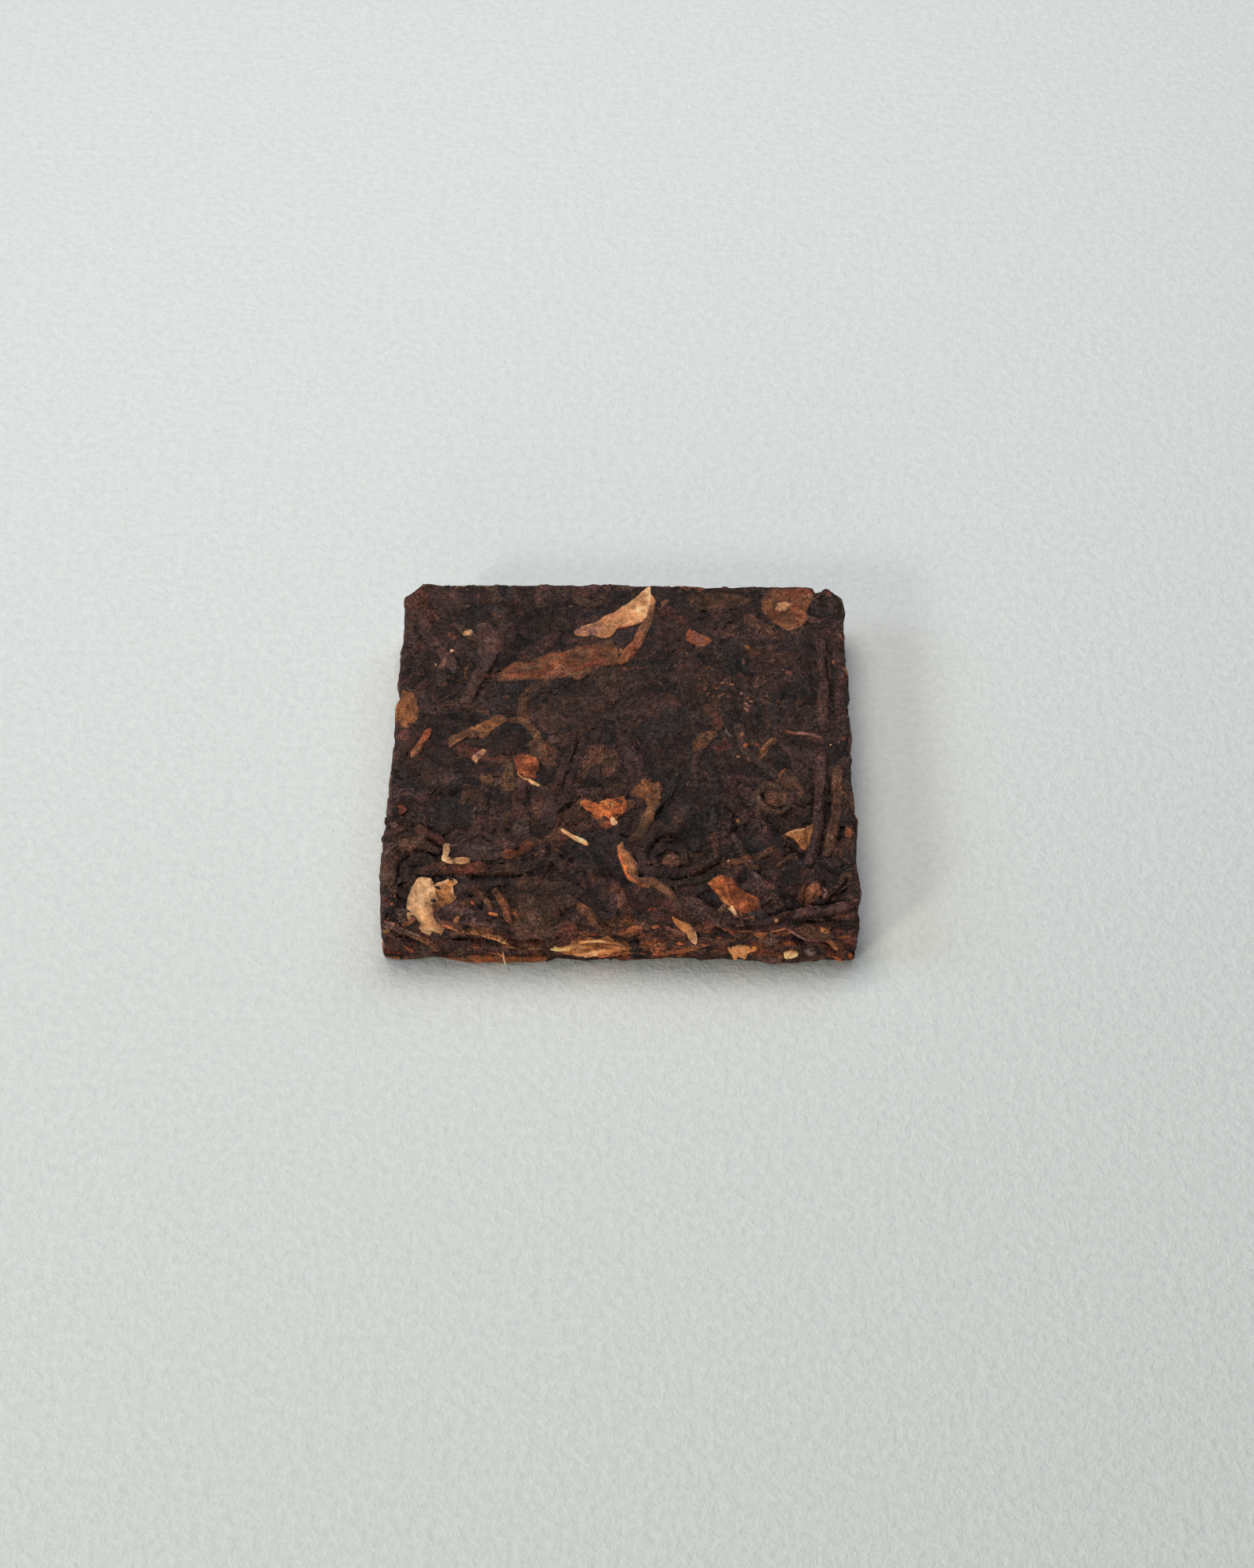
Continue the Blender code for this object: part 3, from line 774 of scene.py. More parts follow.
class Shader:
    """A procedural material: nodes are added with their inputs by name."""

    def __init__(self, name):
        self.material = bpy.data.materials.new(name)
        self.material.use_nodes = True
        self.tree = self.material.node_tree
        self.surface = self.tree.nodes["Principled BSDF"]

    def add(self, kind, output=0, settings=None, **inputs):
        """Add a node with its settings and inputs, and give one of its outputs."""
        node = self.tree.nodes.new("ShaderNode" + kind)
        for name, value in (settings or {}).items():
            setattr(node, name, value)
        self.feed(node, inputs)
        return node.outputs[output]

    def feed(self, node, inputs):
        """Set or link inputs: i0, i1 and so on go by number, the rest by name."""
        for name, value in inputs.items():
            numbered = name[0] == "i" and name[1:].isdigit()
            socket = node.inputs[int(name[1:]) if numbered else name.replace("_", " ")]
            if isinstance(value, bpy.types.NodeSocket):
                self.tree.links.new(value, socket)
            else:
                socket.default_value = value

    def noise(self, where, size, detail=3.0, rough=0.6):
        """Noise whose bumps are so many millimetres, on coordinates in metres."""
        scale = 1 / (size * MM)
        return self.add("TexNoise", Vector=where, Scale=scale, Detail=detail, Roughness=rough)

    def span(self, value, low, high, to_low=0.0, to_high=1.0):
        """The value's range stretched to another, and cut there."""
        return self.add("MapRange", i0=value, i1=low, i2=high, i3=to_low, i4=to_high)

    def maths(self, how, first, second):
        """Two values put together."""
        return self.add("Math", settings={"operation": how}, i0=first, i1=second)

    def mix(self, how, share, first, second):
        """A share of the second colour mixed into the first one."""
        settings = {"data_type": "RGBA", "blend_type": how, "clamp_result": False}
        return self.add("Mix", 2, settings, i0=share, i6=first, i7=second)

    def tinted(self, colour, tint):
        """A colour multiplied by another."""
        return self.mix("MULTIPLY", 1.0, colour, tint)

    def times(self, colour, value):
        """A colour made lighter or darker by a value."""
        return self.tinted(colour, self.add("CombineColor", Red=value, Green=value, Blue=value))

    def total(self, *parts):
        """The sum of values, each times a share of its own."""
        total = None
        for value, share in parts:
            value = self.maths("MULTIPLY", value, share)
            total = value if total is None else self.maths("ADD", total, value)
        return total

    def attribute(self, name, output):
        """What the mesh says at each point."""
        node = self.tree.nodes.new("ShaderNodeAttribute")
        node.attribute_name = name
        return node.outputs[output]

    def finish(self, colour, rough, height, distance, specular):
        """Feed the surface; a height of 1 stands out by the distance in millimetres."""
        bump = self.add("Bump", Strength=1.0, Distance=distance * MM, Height=height)
        self.feed(self.surface, {"Base Color": colour, "Roughness": rough, "Normal": bump})
        self.surface.inputs["Specular IOR Level"].default_value = specular
        return self.material


def rgb(name, times=1.0):
    """A tint as a shader's colour."""
    return (*(linear(TINTS[name]) * times), 1.0)


def leaf_material():
    """Pressed fermented leaf: dull and finely grainy, with fibres along each leaf."""
    shader = Shader("pressed_leaf")
    where = shader.add("TexCoord", "Object")
    tint = shader.attribute("tint", "Color")
    grain = shader.attribute("grain", "Vector")
    hollow = shader.attribute("hollow", "Fac")
    lengthways = shader.add("VectorMath", settings={"operation": "MULTIPLY"}, i0=grain,
                            i1=(0.8, 7.0, 1.0))
    fibre = shader.add("TexNoise", Vector=lengthways, Scale=1.0, Detail=3.0, Roughness=0.6)
    patch = shader.noise(where, 3.2, 3.0, 0.55)
    mottle = shader.noise(where, 0.9, 4.0, 0.62)
    grit = shader.noise(where, 0.42, 4.0, 0.75)
    dust = shader.noise(where, 0.2, 2.0, 0.6)
    speck = shader.noise(where, 0.15, 2.0, 0.65)
    warm = shader.noise(where, 1.3, 3.0, 0.6)
    hue = shader.noise(where, 0.28, 2.0, 0.6)
    # Painted shade: thin dark lines along a folded noise stand for shade in fine creases; they add
    # a little bump too
    shaded_creases = shader.add("TexNoise", Vector=where, Scale=1 / (1.5 * MM), Detail=2.5, Roughness=0.55,
                      Distortion=0.6)
    shaded_creases = shader.maths("ABSOLUTE", shader.maths("SUBTRACT", shaded_creases, 0.5), 0.0)
    shaded_creases = shader.maths("ADD", shaded_creases, shader.span(warm, 0.42, 0.58, 0.0, 0.04))
    shaded_creases = shader.span(shaded_creases, 0.0, 0.032, 0.0, 1.0)
    mat = shader.mix("MIX", shader.span(patch, 0.4, 0.6), rgb("slate", 0.85), rgb("purple"))
    colour = shader.mix("MIX", 0.27, tint, mat)
    colour = shader.times(colour, shader.span(mottle, 0.32, 0.68, 0.7, 1.34))
    reddish = shader.tinted(colour, (1.2, 0.94, 0.86, 1.0))
    colour = shader.mix("MIX", shader.span(warm, 0.48, 0.66, 0.0, 0.9), colour, reddish)
    share = shader.span(hue, 0.36, 0.64)
    tinge = shader.mix("MIX", share, (0.94, 1.01, 1.06, 1.0), (1.07, 0.99, 0.94, 1.0))
    colour = shader.tinted(colour, tinge)
    colour = shader.times(colour, shader.span(grit, 0.34, 0.68, 0.42, 1.74))
    colour = shader.times(colour, shader.span(speck, 0.34, 0.68, 0.4, 1.75))
    colour = shader.times(colour, shader.span(fibre, 0.3, 0.7, 0.84, 1.18))
    pale = shader.span(dust, 0.58, 0.74, 0.0, 0.5)
    colour = shader.mix("MIX", pale, colour, (0.125, 0.09, 0.08, 1.0))
    # Painted shade: deep places and creases are darkened
    colour = shader.times(colour, shader.span(hollow, 0.0, 1.0, 1.0, 0.4))
    # Painted shade in the fine creases
    colour = shader.times(colour, shader.span(shaded_creases, 0.0, 1.0, 0.5, 1.04))
    height = shader.total((grit, 0.9), (shaded_creases, 0.3), (mottle, 1.2), (fibre, 0.35), (dust, 0.45),
                          (speck, 0.35))
    rough = shader.span(mottle, 0.3, 0.7, 0.66, 0.86)
    return shader.finish(colour, rough, height, 0.3, 0.2)


def peel_material():
    """Dried peel: pitted with oil glands on the rind, fibrous where the pith shows."""
    shader = Shader("dried_peel")
    where = shader.add("TexCoord", "Object")
    tint = shader.attribute("tint", "Color")
    hollow = shader.attribute("hollow", "Fac")
    pits = shader.add("TexVoronoi", Vector=where, Scale=1 / (0.4 * MM), Randomness=0.9)
    mottle = shader.noise(where, 0.7, 4.0, 0.6)
    grit = shader.noise(where, 0.2, 3.0, 0.65)
    speck = shader.noise(where, 0.12, 2.0, 0.6)
    pale = shader.span(shader.attribute("tint", "Fac"), 0.16, 0.36, 0.0, 0.6)
    colour = shader.times(tint, shader.span(mottle, 0.32, 0.68, 0.56, 1.44))
    colour = shader.times(colour, shader.span(grit, 0.3, 0.7, 0.62, 1.44))
    colour = shader.times(colour, shader.span(speck, 0.34, 0.68, 0.6, 1.5))
    dust = shader.noise(where, 0.34, 3.0, 0.7)
    tea = shader.span(dust, 0.64, 0.72, 0.0, 0.5)
    colour = shader.mix("MIX", tea, colour, rgb("mid"))
    colour = shader.times(colour, shader.span(pits, 0.05, 0.4, 0.8, 1.08))
    fleck = shader.noise(where, 0.26, 4.0, 0.75)
    dark = shader.tinted(colour, (0.64, 0.52, 0.46, 1.0))
    light = shader.tinted(colour, (1.5, 1.55, 1.55, 1.0))
    colour = shader.mix("MIX", shader.span(fleck, 0.47, 0.36), colour, dark)
    colour = shader.mix("MIX", shader.span(fleck, 0.56, 0.68), colour, light)
    colour = shader.mix("MIX", pale, colour, tint)
    # Painted shade: deep places and creases are darkened
    colour = shader.times(colour, shader.span(hollow, 0.0, 1.0, 1.0, 0.4))
    height = shader.total((grit, 0.6), (shader.span(pits, 0.0, 0.35), 0.5), (fleck, 0.8))
    return shader.finish(colour, shader.span(mottle, 0.3, 0.7, 0.6, 0.8), height, 0.16, 0.22)


def core_material():
    """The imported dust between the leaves."""
    shader = Shader("packed_dust")
    where = shader.add("TexCoord", "Object")
    mottle = shader.noise(where, 0.7, 4.0, 0.6)
    grit = shader.noise(where, 0.15, 3.0, 0.7)
    share = shader.span(mottle, 0.35, 0.65)
    colour = shader.mix("MIX", share, (0.012, 0.0075, 0.006, 1.0), (0.034, 0.02, 0.015, 1.0))
    colour = shader.times(colour, shader.span(grit, 0.3, 0.7, 0.7, 1.3))
    return shader.finish(colour, shader.span(grit, 0.3, 0.7, 0.75, 0.95), grit, 0.1, 0.2)


# Painted light: far from the tablet the floor glows like the room, from and to so many metres
FAR_FLOOR = (0.13, 0.45)
FLOOR_SIZE = 3.0
ROOM_COLOUR = (0.5, 0.515, 0.495, 1.0)
ROOM_RADIUS = 1.4


def floor_material():
    """Plain pale paper with a faint tooth, which glows with painted light far from the tablet."""
    shader = Shader("pale_paper")
    where = shader.add("TexCoord", "Object")
    tooth = shader.noise(where, 0.7, 4.0, 0.65)
    share = shader.span(tooth, 0.34, 0.66)
    colour = shader.mix("MIX", share, (0.775, 0.775, 0.795, 1.0), (0.845, 0.845, 0.86, 1.0))
    away = shader.add("VectorMath", 1, {"operation": "LENGTH"}, i0=where)
    # Painted light: the further from the tablet, the more the floor glows
    far_glow = shader.span(away, *FAR_FLOOR)
    shader.surface.inputs["Emission Color"].default_value = ROOM_COLOUR
    shader.feed(shader.surface, {"Emission Strength": far_glow})
    return shader.finish(colour, shader.span(tooth, 0.3, 0.7, 0.8, 0.9), tooth, 0.16, 0.2)


# ---------------------------------------------------------------- what lies on the faces

# How common each tint is among the leaves: everywhere, towards the front, on the walls
LEAF_MIX = {
    "dark": 0.34,
    "black": 0.06,
    "mid": 0.24,
    "purple": 0.10,
    "slate": 0.14,
    "red": 0.05,
    "brown": 0.04,
    "olive": 0.03,
}
FRONT_MIX = {
    "dark": 0.24,
    "mid": 0.26,
    "purple": 0.18,
    "slate": 0.08,
    "brown": 0.1,
    "olive": 0.08,
    "umber": 0.06,
}
WALL_MIX = {
    "dark": 0.08,
    "black": 0.04,
    "mid": 0.16,
    "purple": 0.2,
    "slate": 0.02,
    "red": 0.15,
    "brown": 0.15,
    "umber": 0.09,
    "russet": 0.05,
    "rust": 0.03,
    "ochre": 0.03,
}
CRUMB_TINTS = ("dark", "dark", "mid", "mid", "purple", "purple", "red", "brown")
PEEL_TINTS = ("umber", "umber", "ochre", "russet", "rust", "orange", "tan", "pink", "red")
FIBRE_TINTS = ("dark", "mid", "purple", "purple", "brown", "umber")

EVEN_STEPS = np.array([0.754877666, 0.569840291])  # these spread places evenly over a square
PATH_STOPS = 6
PATH_WANDER = 0.12  # how far it turns by chance at each stop

# The random leaves: spread and limits of their lengths, and of the long ones' widths
LEAF_TURN = 0.35
LONG_SPREAD, LONG_LIMITS = 0.38, (1.6, 10)
FLAT_SPREAD, FLAT_LIMITS = 0.33, (1.2, 7.5)
WIDTH, WIDTH_SPREAD, WIDTH_LIMITS = 0.95, 0.28, (0.4, 1.6)
HARDLY_CURLED, CURLED = 0.13, 0.45
HARDLY_CURLED_SHARE = 0.75

# What covers bare places and deep holes
BARE = 0.02  # a lower pile than this is no leaf yet
GAP_ROUNDS, HOLE_ROUNDS, HOLES_AT_ONCE = 400, 120, 12
COVER_THICK, COVER_STIFF = 0.06, 14

# Lengths and widths of fibres, slivers of peel and crevices
FIBRE_LENGTHS, FIBRE_WIDTHS = (0.5, 2.2), (0.07, 0.16)
SLIVER_LENGTH, SLIVER_WIDTHS = (-0.1, 0.5), (0.15, 0.5)  # the length's logarithm: mean, spread
CREVICE_LENGTHS, CREVICE_WIDTHS = (0.8, 4.0), (0.08, 0.16)

PAST_EDGE, PAST_FRONT = 0.1, 0.6  # how far over the edges the leaves are laid
FRONT_DROP = 2.4  # how much further the map of the upper face reaches, for what bends down


def wander_path(rng, middle, heading, length, curl):
    """Stops along a gently bent line through a middle point."""
    bent = curl * np.linspace(-1, 1, PATH_STOPS) * length / 2
    turns = heading + bent + rng.normal(0, PATH_WANDER, PATH_STOPS)
    steps = np.stack([np.cos(turns), np.sin(turns)], 1) * (length / (PATH_STOPS - 1))
    stops = np.cumsum(steps, 0)
    return stops - stops.mean(0) + middle


def headings(maker, size, swing, start=0.0):
    """Which way leaves lie at each place: it swings round within so many millimetres."""
    noise = Noise(maker.rng, size)
    return lambda u, v: start + swing * noise(u, v)


def scattered(maker, area, count, heading_of, turn, length_of, curl):
    """Bent paths at random places, turned at random from the way the leaves lie there."""
    rng = maker.rng
    for _ in range(count):
        middle = rng.uniform(*np.array(area))
        heading = heading_of(*middle) + rng.normal(0, turn)
        length = length_of()
        yield wander_path(rng, middle, heading, length, rng.normal(0, curl))


def litter(maker, area, count, heading_of, strands, long, flat, thick=1.0, tints=LEAF_MIX):
    """Lay random leaves evenly over an area; the last ones bury the first ones.

    strands is the share of long leaves; long and flat are the usual lengths of the two kinds.
    """
    rng = maker.rng
    low, high = np.array(area)
    names, chances = list(tints), np.array(list(tints.values())) / sum(tints.values())
    for k in range(count):
        share = EVEN_STEPS * (k + 1) + rng.uniform(0, 0.06, 2)
        middle = low + (share % 1) * (high - low)
        tint = rng.choice(names, p=chances)
        heading = heading_of(*middle) + rng.normal(0, LEAF_TURN)
        if rng.random() < strands:
            length = np.clip(rng.lognormal(np.log(long), LONG_SPREAD), *LONG_LIMITS)
            width = np.clip(rng.normal(WIDTH, WIDTH_SPREAD), *WIDTH_LIMITS)
            straight = rng.random() < HARDLY_CURLED_SHARE
            curl = rng.normal(0, HARDLY_CURLED if straight else CURLED)
            path = wander_path(rng, middle, heading, length, curl)
            maker.strand(path, width, thick * rng.uniform(0.08, 0.15), tint, rng.uniform(1, 3.4),
                         ragged=rng.uniform(0.1, 0.3))
        else:
            length = np.clip(rng.lognormal(np.log(flat), FLAT_SPREAD), *FLAT_LIMITS)
            size = (length, length * rng.uniform(0.45, 0.85))
            maker.flake(middle, size, heading, thick * rng.uniform(0.05, 0.1), tint,
                        corners=rng.choice([0, 4, 5]), ragged=rng.uniform(0.15, 0.35),
                        vein=rng.uniform(0, 0.5), cup=rng.uniform(-0.04, 0.03))


def cells_where(face, area, wanted):
    """The map cells of an area that are wanted, counted from the area's low corner."""
    first, last = (np.stack(face.cells(*corner)) for corner in np.array(area))
    return np.argwhere(wanted[first[0] : last[0], first[1] : last[1]])


def fill_gaps(maker, area):
    """Lay a flake wherever nothing lies yet, until the whole area is covered."""
    face, rng = maker.face, maker.rng
    for _ in range(GAP_ROUNDS):
        bare = cells_where(face, area, face.pile < BARE)
        if not len(bare):
            break
        spot = area[0] + (bare[rng.integers(len(bare))] + 0.5) * MAP_CELL
        tint = rng.choice(["dark", "mid", "black", "slate"])
        maker.flake(spot, rng.uniform(1.6, 2.8, 2), rng.uniform(0, 3), COVER_THICK, tint)


def fill_holes(maker, area, depth=0.26):
    """Lay a small flake over each deep hole that the pile has left."""
    face, rng = maker.face, maker.rng
    for _ in range(HOLE_ROUNDS):
        deep = blur(face.pile, SOFT_REACH, face.wraps) - face.pile
        holes = cells_where(face, area, deep > depth)
        if not len(holes):
            break
        for hole in rng.permutation(holes)[:HOLES_AT_ONCE]:
            tint = rng.choice(["dark", "mid", "purple"])
            size = rng.uniform(0.9, 1.6)
            spot = area[0] + (hole + 0.5) * MAP_CELL
            maker.flake(spot, (size, size * 0.7), rng.uniform(0, 3), COVER_THICK, tint,
                        stiff=COVER_STIFF)


def crumbs(maker, area, count, size=0.36):
    """Small loose bits that lie in the creases and on the leaves."""
    rng = maker.rng
    for _ in range(count):
        middle = rng.uniform(*np.array(area))
        maker.crumb(middle, size * rng.lognormal(0, 0.35), CRUMB_TINTS)


def fibres(maker, area, count, heading_of):
    """Thin short fibres torn from stalks and leaf edges."""
    rng = maker.rng
    lengths = partial(rng.uniform, *FIBRE_LENGTHS)
    for path in scattered(maker, area, count, heading_of, 0.7, lengths, 0.5):
        maker.strand(path, rng.uniform(*FIBRE_WIDTHS), 0.07, rng.choice(FIBRE_TINTS), 1.0,
                     ragged=0.3, stiff=2, step=0.2, fade=0.2)


def slivers(maker, area, count, heading_of):
    """Small torn bits of peel among the leaves."""
    rng = maker.rng
    lengths = partial(rng.lognormal, *SLIVER_LENGTH)
    for path in scattered(maker, area, count, heading_of, 0.5, lengths, 0.3):
        tints = tuple(rng.choice(PEEL_TINTS, 2))
        maker.strand(path, rng.uniform(*SLIVER_WIDTHS), 0.12, tints, rng.uniform(1, 2),
                     ragged=0.4, kind="peel_bits", stiff=3, step=0.18, fade=0.35)


def crevices(maker, area, count, heading_of, depth=0.16):
    """Short creases between leaves, along the way the leaves lie."""
    rng = maker.rng
    lengths = partial(rng.uniform, *CREVICE_LENGTHS)
    for path in scattered(maker, area, count, heading_of, 0.5, lengths, 0.3):
        maker.face.score(path, rng.uniform(*CREVICE_WIDTHS), depth * rng.uniform(0.5, 1.3))


def slate_patches(maker):
    """Patches of very dark smooth leaf on the upper face."""
    for middle, size, heading in (
        ((5.7, -6.3), (7.5, 3.2), -1.35),
        ((-1.7, -10.9), (5.2, 3.6), -0.5),
        ((-13.2, -7.4), (5.0, 3.0), 0.15),
        ((-8.6, 4.9), (7.0, 2.3), 0.75),
        ((3.2, 2.2), (5.5, 2.6), 0.6),
        ((12.4, 4.3), (4.6, 2.0), 1.4),
        ((5.0, 15.6), (4.0, 2.0), 0.1),
        ((-15.9, -4.6), (2.4, 1.8), 1.5),
        ((9.8, -10.4), (3.0, 2.2), -0.3),
        ((0.9, 11.9), (2.6, 1.8), 0.5),
    ):
        maker.flake(middle, size, heading, 0.07, "slate", ragged=0.25, vein=0.05)


def bold_strand(maker, stops, width, thick, tint, ridges=2.0, **looks):
    """A strand that stands out more than others do, and most at the front."""
    bold = 1.5 + np.clip(-np.mean(stops, 0)[1] / 8, 0, 1)
    maker.strand(stops, width, thick * bold, tint, ridges, **{"fade": 0.25, **looks})


def broad_leaves(maker):
    """Broad leaves in the back half and left of the middle."""
    flake = maker.flake
    flake((11.9, 8.6), (5.5, 2.6), 0.1, 0.08, "mid", ragged=0.3)
    flake((5.2, 8.1), (4.0, 2.2), 0.4, 0.08, "mid", ragged=0.3)
    flake((7.6, 15.7), (5.0, 2.2), 0.1, 0.08, "brown", ragged=0.25)
    flake((-6.0, -1.0), (3.4, 2.0), -1.0, 0.08, "brown", ragged=0.3)


def right_bundles(maker):
    """Bundles that run down the right-hand side."""
    strand, flake, score = partial(bold_strand, maker), maker.flake, maker.face.score
    strand([(15.6, 11.4), (15.9, 8.0), (15.5, 4.2), (15.6, 1.4)], 0.9, 0.14, "purple")
    strand([(16.8, 10.5), (17.0, 7.0), (16.7, 3.2)], 0.8, 0.14, "mid")
    strand([(15.4, -0.9), (15.0, -5.1), (14.6, -9.5), (14.0, -12.3)], 0.9, 0.18, "purple")
    strand([(16.6, -2.2), (16.4, -4.9), (16.1, -7.3), (15.4, -11.4)], 0.9, 0.18, "brown")
    score([(15.9, -1.8), (15.8, -5.0), (15.3, -8.4), (14.7, -12.0)], 0.14, 0.3)
    score([(14.6, -2.6), (14.5, -6.0), (14.0, -9.2)], 0.12, 0.24)
    score([(16.3, 13.1), (16.2, 11.3), (16.0, 8.6), (16.3, 5.5), (16.5, 2.2)], 0.13, 0.3)
    score([(14.2, 6.3), (14.4, 5.0), (15.0, 5.2), (15.1, 6.3)], 0.1, 0.22)
    score([(13.1, 6.0), (12.2, 4.5), (12.5, 3.2)], 0.16, 0.3)
    strand([(11.9, 0.8), (11.2, 0.0), (10.7, -1.1), (9.6, -1.7)], 0.6, 0.13, "umber")
    strand([(8.0, 1.6), (8.1, 1.2), (8.4, 0.8)], 0.3, 0.12, "ash", fade=0.7)
    flake((6.2, 0.4), (2.8, 1.4), 0.9, 0.1, "umber", ragged=0.3)
    flake((7.3, 2.2), (2.0, 1.2), 1.2, 0.1, "red", ragged=0.3)


def left_ridge_and_middle(maker):
    """Dark diagonal ridge at the left and long strands in the middle."""
    strand, score = partial(bold_strand, maker), maker.face.score
    strand([(-5.8, 6.7), (-7.3, 5.7), (-7.8, 3.9), (-7.4, 2.0)], 0.8, 0.12, "brown")
    strand([(-10.1, 10.4), (-11.0, 7.8), (-11.8, 5.9), (-12.3, 3.6)], 1.0, 0.16, "purple")
    score([(-9.4, 10.6), (-10.2, 8.2), (-11.0, 5.9), (-11.8, 3.9)], 0.14, 0.34)
    strand([(-3.6, 1.4), (-4.3, -2.0), (-5.3, -6.0), (-5.9, -8.4)], 0.8, 0.13, "mid")
    strand([(-2.7, 0.9), (-3.5, -2.4), (-4.4, -5.4)], 0.7, 0.12, "dark")
    score([(-3.2, 1.2), (-3.9, -2.2), (-4.8, -5.6)], 0.1, 0.2)
    strand([(6.4, -1.6), (7.3, -4.4), (7.0, -6.6), (6.7, -9.0)], 0.7, 0.12, "slate")
    strand([(8.2, -2.6), (8.6, -5.2), (9.4, -8.2)], 0.8, 0.12, "dark")
    strand([(12.0, -3.4), (9.6, -0.8), (9.0, 2.2)], 0.8, 0.12, "purple")


def front_left_leaves(maker):
    """Arched leaves in the front left-hand corner."""
    strand, flake, score = partial(bold_strand, maker), maker.flake, maker.face.score
    strand([(-16.9, -14.6), (-17.1, -12.2), (-16.0, -10.6), (-14.7, -10.3), (-13.4, -10.9)], 1.4,
           0.2, "olive", 3.4, crown=0.3)
    strand([(-15.9, -14.0), (-15.8, -12.3), (-14.8, -11.7), (-13.8, -12.1)], 1.0, 0.14, "dark")
    score([(-16.2, -14.6), (-16.4, -12.6), (-15.6, -11.3), (-14.2, -11.1)], 0.16, 0.34)
    strand([(-15.4, -8.6), (-14.4, -9.4), (-13.1, -10.4)], 1.0, 0.14, "red")
    score([(-14.9, -9.5), (-13.9, -10.2), (-12.9, -10.8)], 0.2, 0.4)
    flake((-11.0, -11.0), (4.6, 1.9), -0.08, 0.14, "purple", ragged=0.12, vein=0.1)
    strand([(-15.2, -13.1), (-13.6, -12.7), (-11.9, -12.7), (-10.1, -12.8), (-7.9, -12.9),
            (-6.3, -12.4)], 1.1, 0.16, ("olive", "brown", "rust", "brown", "olive", "dark"), 3.0,
           crown=0.35)
    score([(-11.8, -13.6), (-10.2, -13.5), (-8.6, -13.4), (-7.0, -13.4)], 0.24, 0.55)
    strand([(-12.4, -14.6), (-11.0, -14.7), (-9.6, -14.1), (-8.4, -13.9)], 0.9, 0.12, "purple")
    strand([(-11.9, -16.4), (-10.6, -15.8), (-9.6, -15.3)], 1.0, 0.14, "brown")
    flake((-6.0, -15.8), (6.5, 4.0), 0.3, 0.1, "olive", ragged=0.2, vein=0.5)
    flake((-7.2, -17.6), (5.4, 3.4), 0.2, 0.1, "mid", ragged=0.2, vein=0.5)
    flake((-6.2, -16.9), (4.4, 3.2), -0.5, 0.34, "olive", ragged=0.12, vein=0.4, cup=-0.1, fade=0.2)
    strand([(-9.3, -14.7), (-8.8, -15.8), (-8.3, -16.9), (-8.0, -18.0)], 0.7, 0.16,
           ("umber", "ochre", "umber"))
    strand([(-10.9, -14.6), (-10.1, -15.6), (-9.3, -16.8)], 0.6, 0.14, ("brown", "umber", "brown"))
    score([(-7.9, -15.4), (-7.8, -16.8), (-7.3, -18.0), (-6.0, -18.8), (-4.4, -18.6)], 0.26, 0.5)


def spiral_leaf(maker):
    """A leaf rolled into a spiral, with its tail to the right."""
    strand, flake, score = partial(bold_strand, maker), maker.flake, maker.face.score
    flake((3.7, -11.9), (1.5, 1.3), 0.2, 0.2, "umber", vein=0.0, ragged=0.15)
    strand([(2.7, -12.6), (2.5, -11.3), (3.1, -10.5), (4.2, -10.5), (4.8, -11.3), (4.6, -12.2)],
           0.65, 0.12, ("mid", "dark", "brown"), 2.2, ragged=0.35)
    score([(3.0, -12.4), (2.9, -11.5), (3.5, -11.0), (4.3, -11.2), (4.4, -11.9)], 0.1, 0.3)
    score([(2.1, -12.4), (2.0, -11.0), (2.7, -10.0), (4.2, -9.9), (5.3, -10.7), (5.5, -11.6)], 0.14,
          0.4)
    strand([(2.7, -13.3), (1.7, -12.6), (1.6, -11.1), (2.1, -9.6), (3.2, -8.8), (4.6, -9.0),
            (5.4, -9.9), (5.6, -11.0)], 1.1, 0.13, ("dark", "mid", "dark", "slate"), 3.2,
           ragged=0.3)
    score([(2.3, -12.6), (2.1, -11.1), (2.6, -9.9), (3.6, -9.4), (4.6, -9.8), (5.0, -10.8)], 0.12,
          0.3)
    strand([(2.4, -12.9), (3.5, -13.2), (4.8, -13.0), (6.2, -12.3), (7.4, -11.4)], 0.9, 0.16,
           "dark")
    strand([(2.6, -13.9), (4.2, -14.1), (5.8, -13.7), (7.2, -12.9)], 0.8, 0.14, "mid")
    score([(2.9, -13.5), (4.4, -13.6), (5.9, -13.1), (7.2, -12.2)], 0.12, 0.3)


def rolled_leaf(maker):
    """A brown rolled leaf, seen end on."""
    strand, flake, score = partial(bold_strand, maker), maker.flake, maker.face.score
    flake((11.6, -5.6), (2.0, 1.5), -0.4, 0.12, "umber", vein=0.0)
    strand([(12.2, -4.6), (11.1, -4.2), (10.3, -5.2), (10.8, -6.5), (12.0, -6.9), (12.9, -6.2)],
           0.55, 0.15, "olive", 1.2)
    score([(11.9, -7.3), (12.9, -7.2), (13.6, -7.0)], 0.12, 0.3)


def short_strips(maker):
    """Short red and brown strips."""
    strand = partial(bold_strand, maker)
    strand([(-14.8, 1.6), (-15.3, 0.2), (-15.8, -1.3)], 0.6, 0.14, ("russet", "umber"))
    strand([(-8.9, 2.7), (-7.5, 2.3), (-6.4, 0.4), (-5.8, -1.5)], 0.7, 0.12, ("umber", "brown"))
    strand([(-15.9, 0.4), (-16.9, -1.0), (-17.2, -3.0)], 0.9, 0.12, "dark")


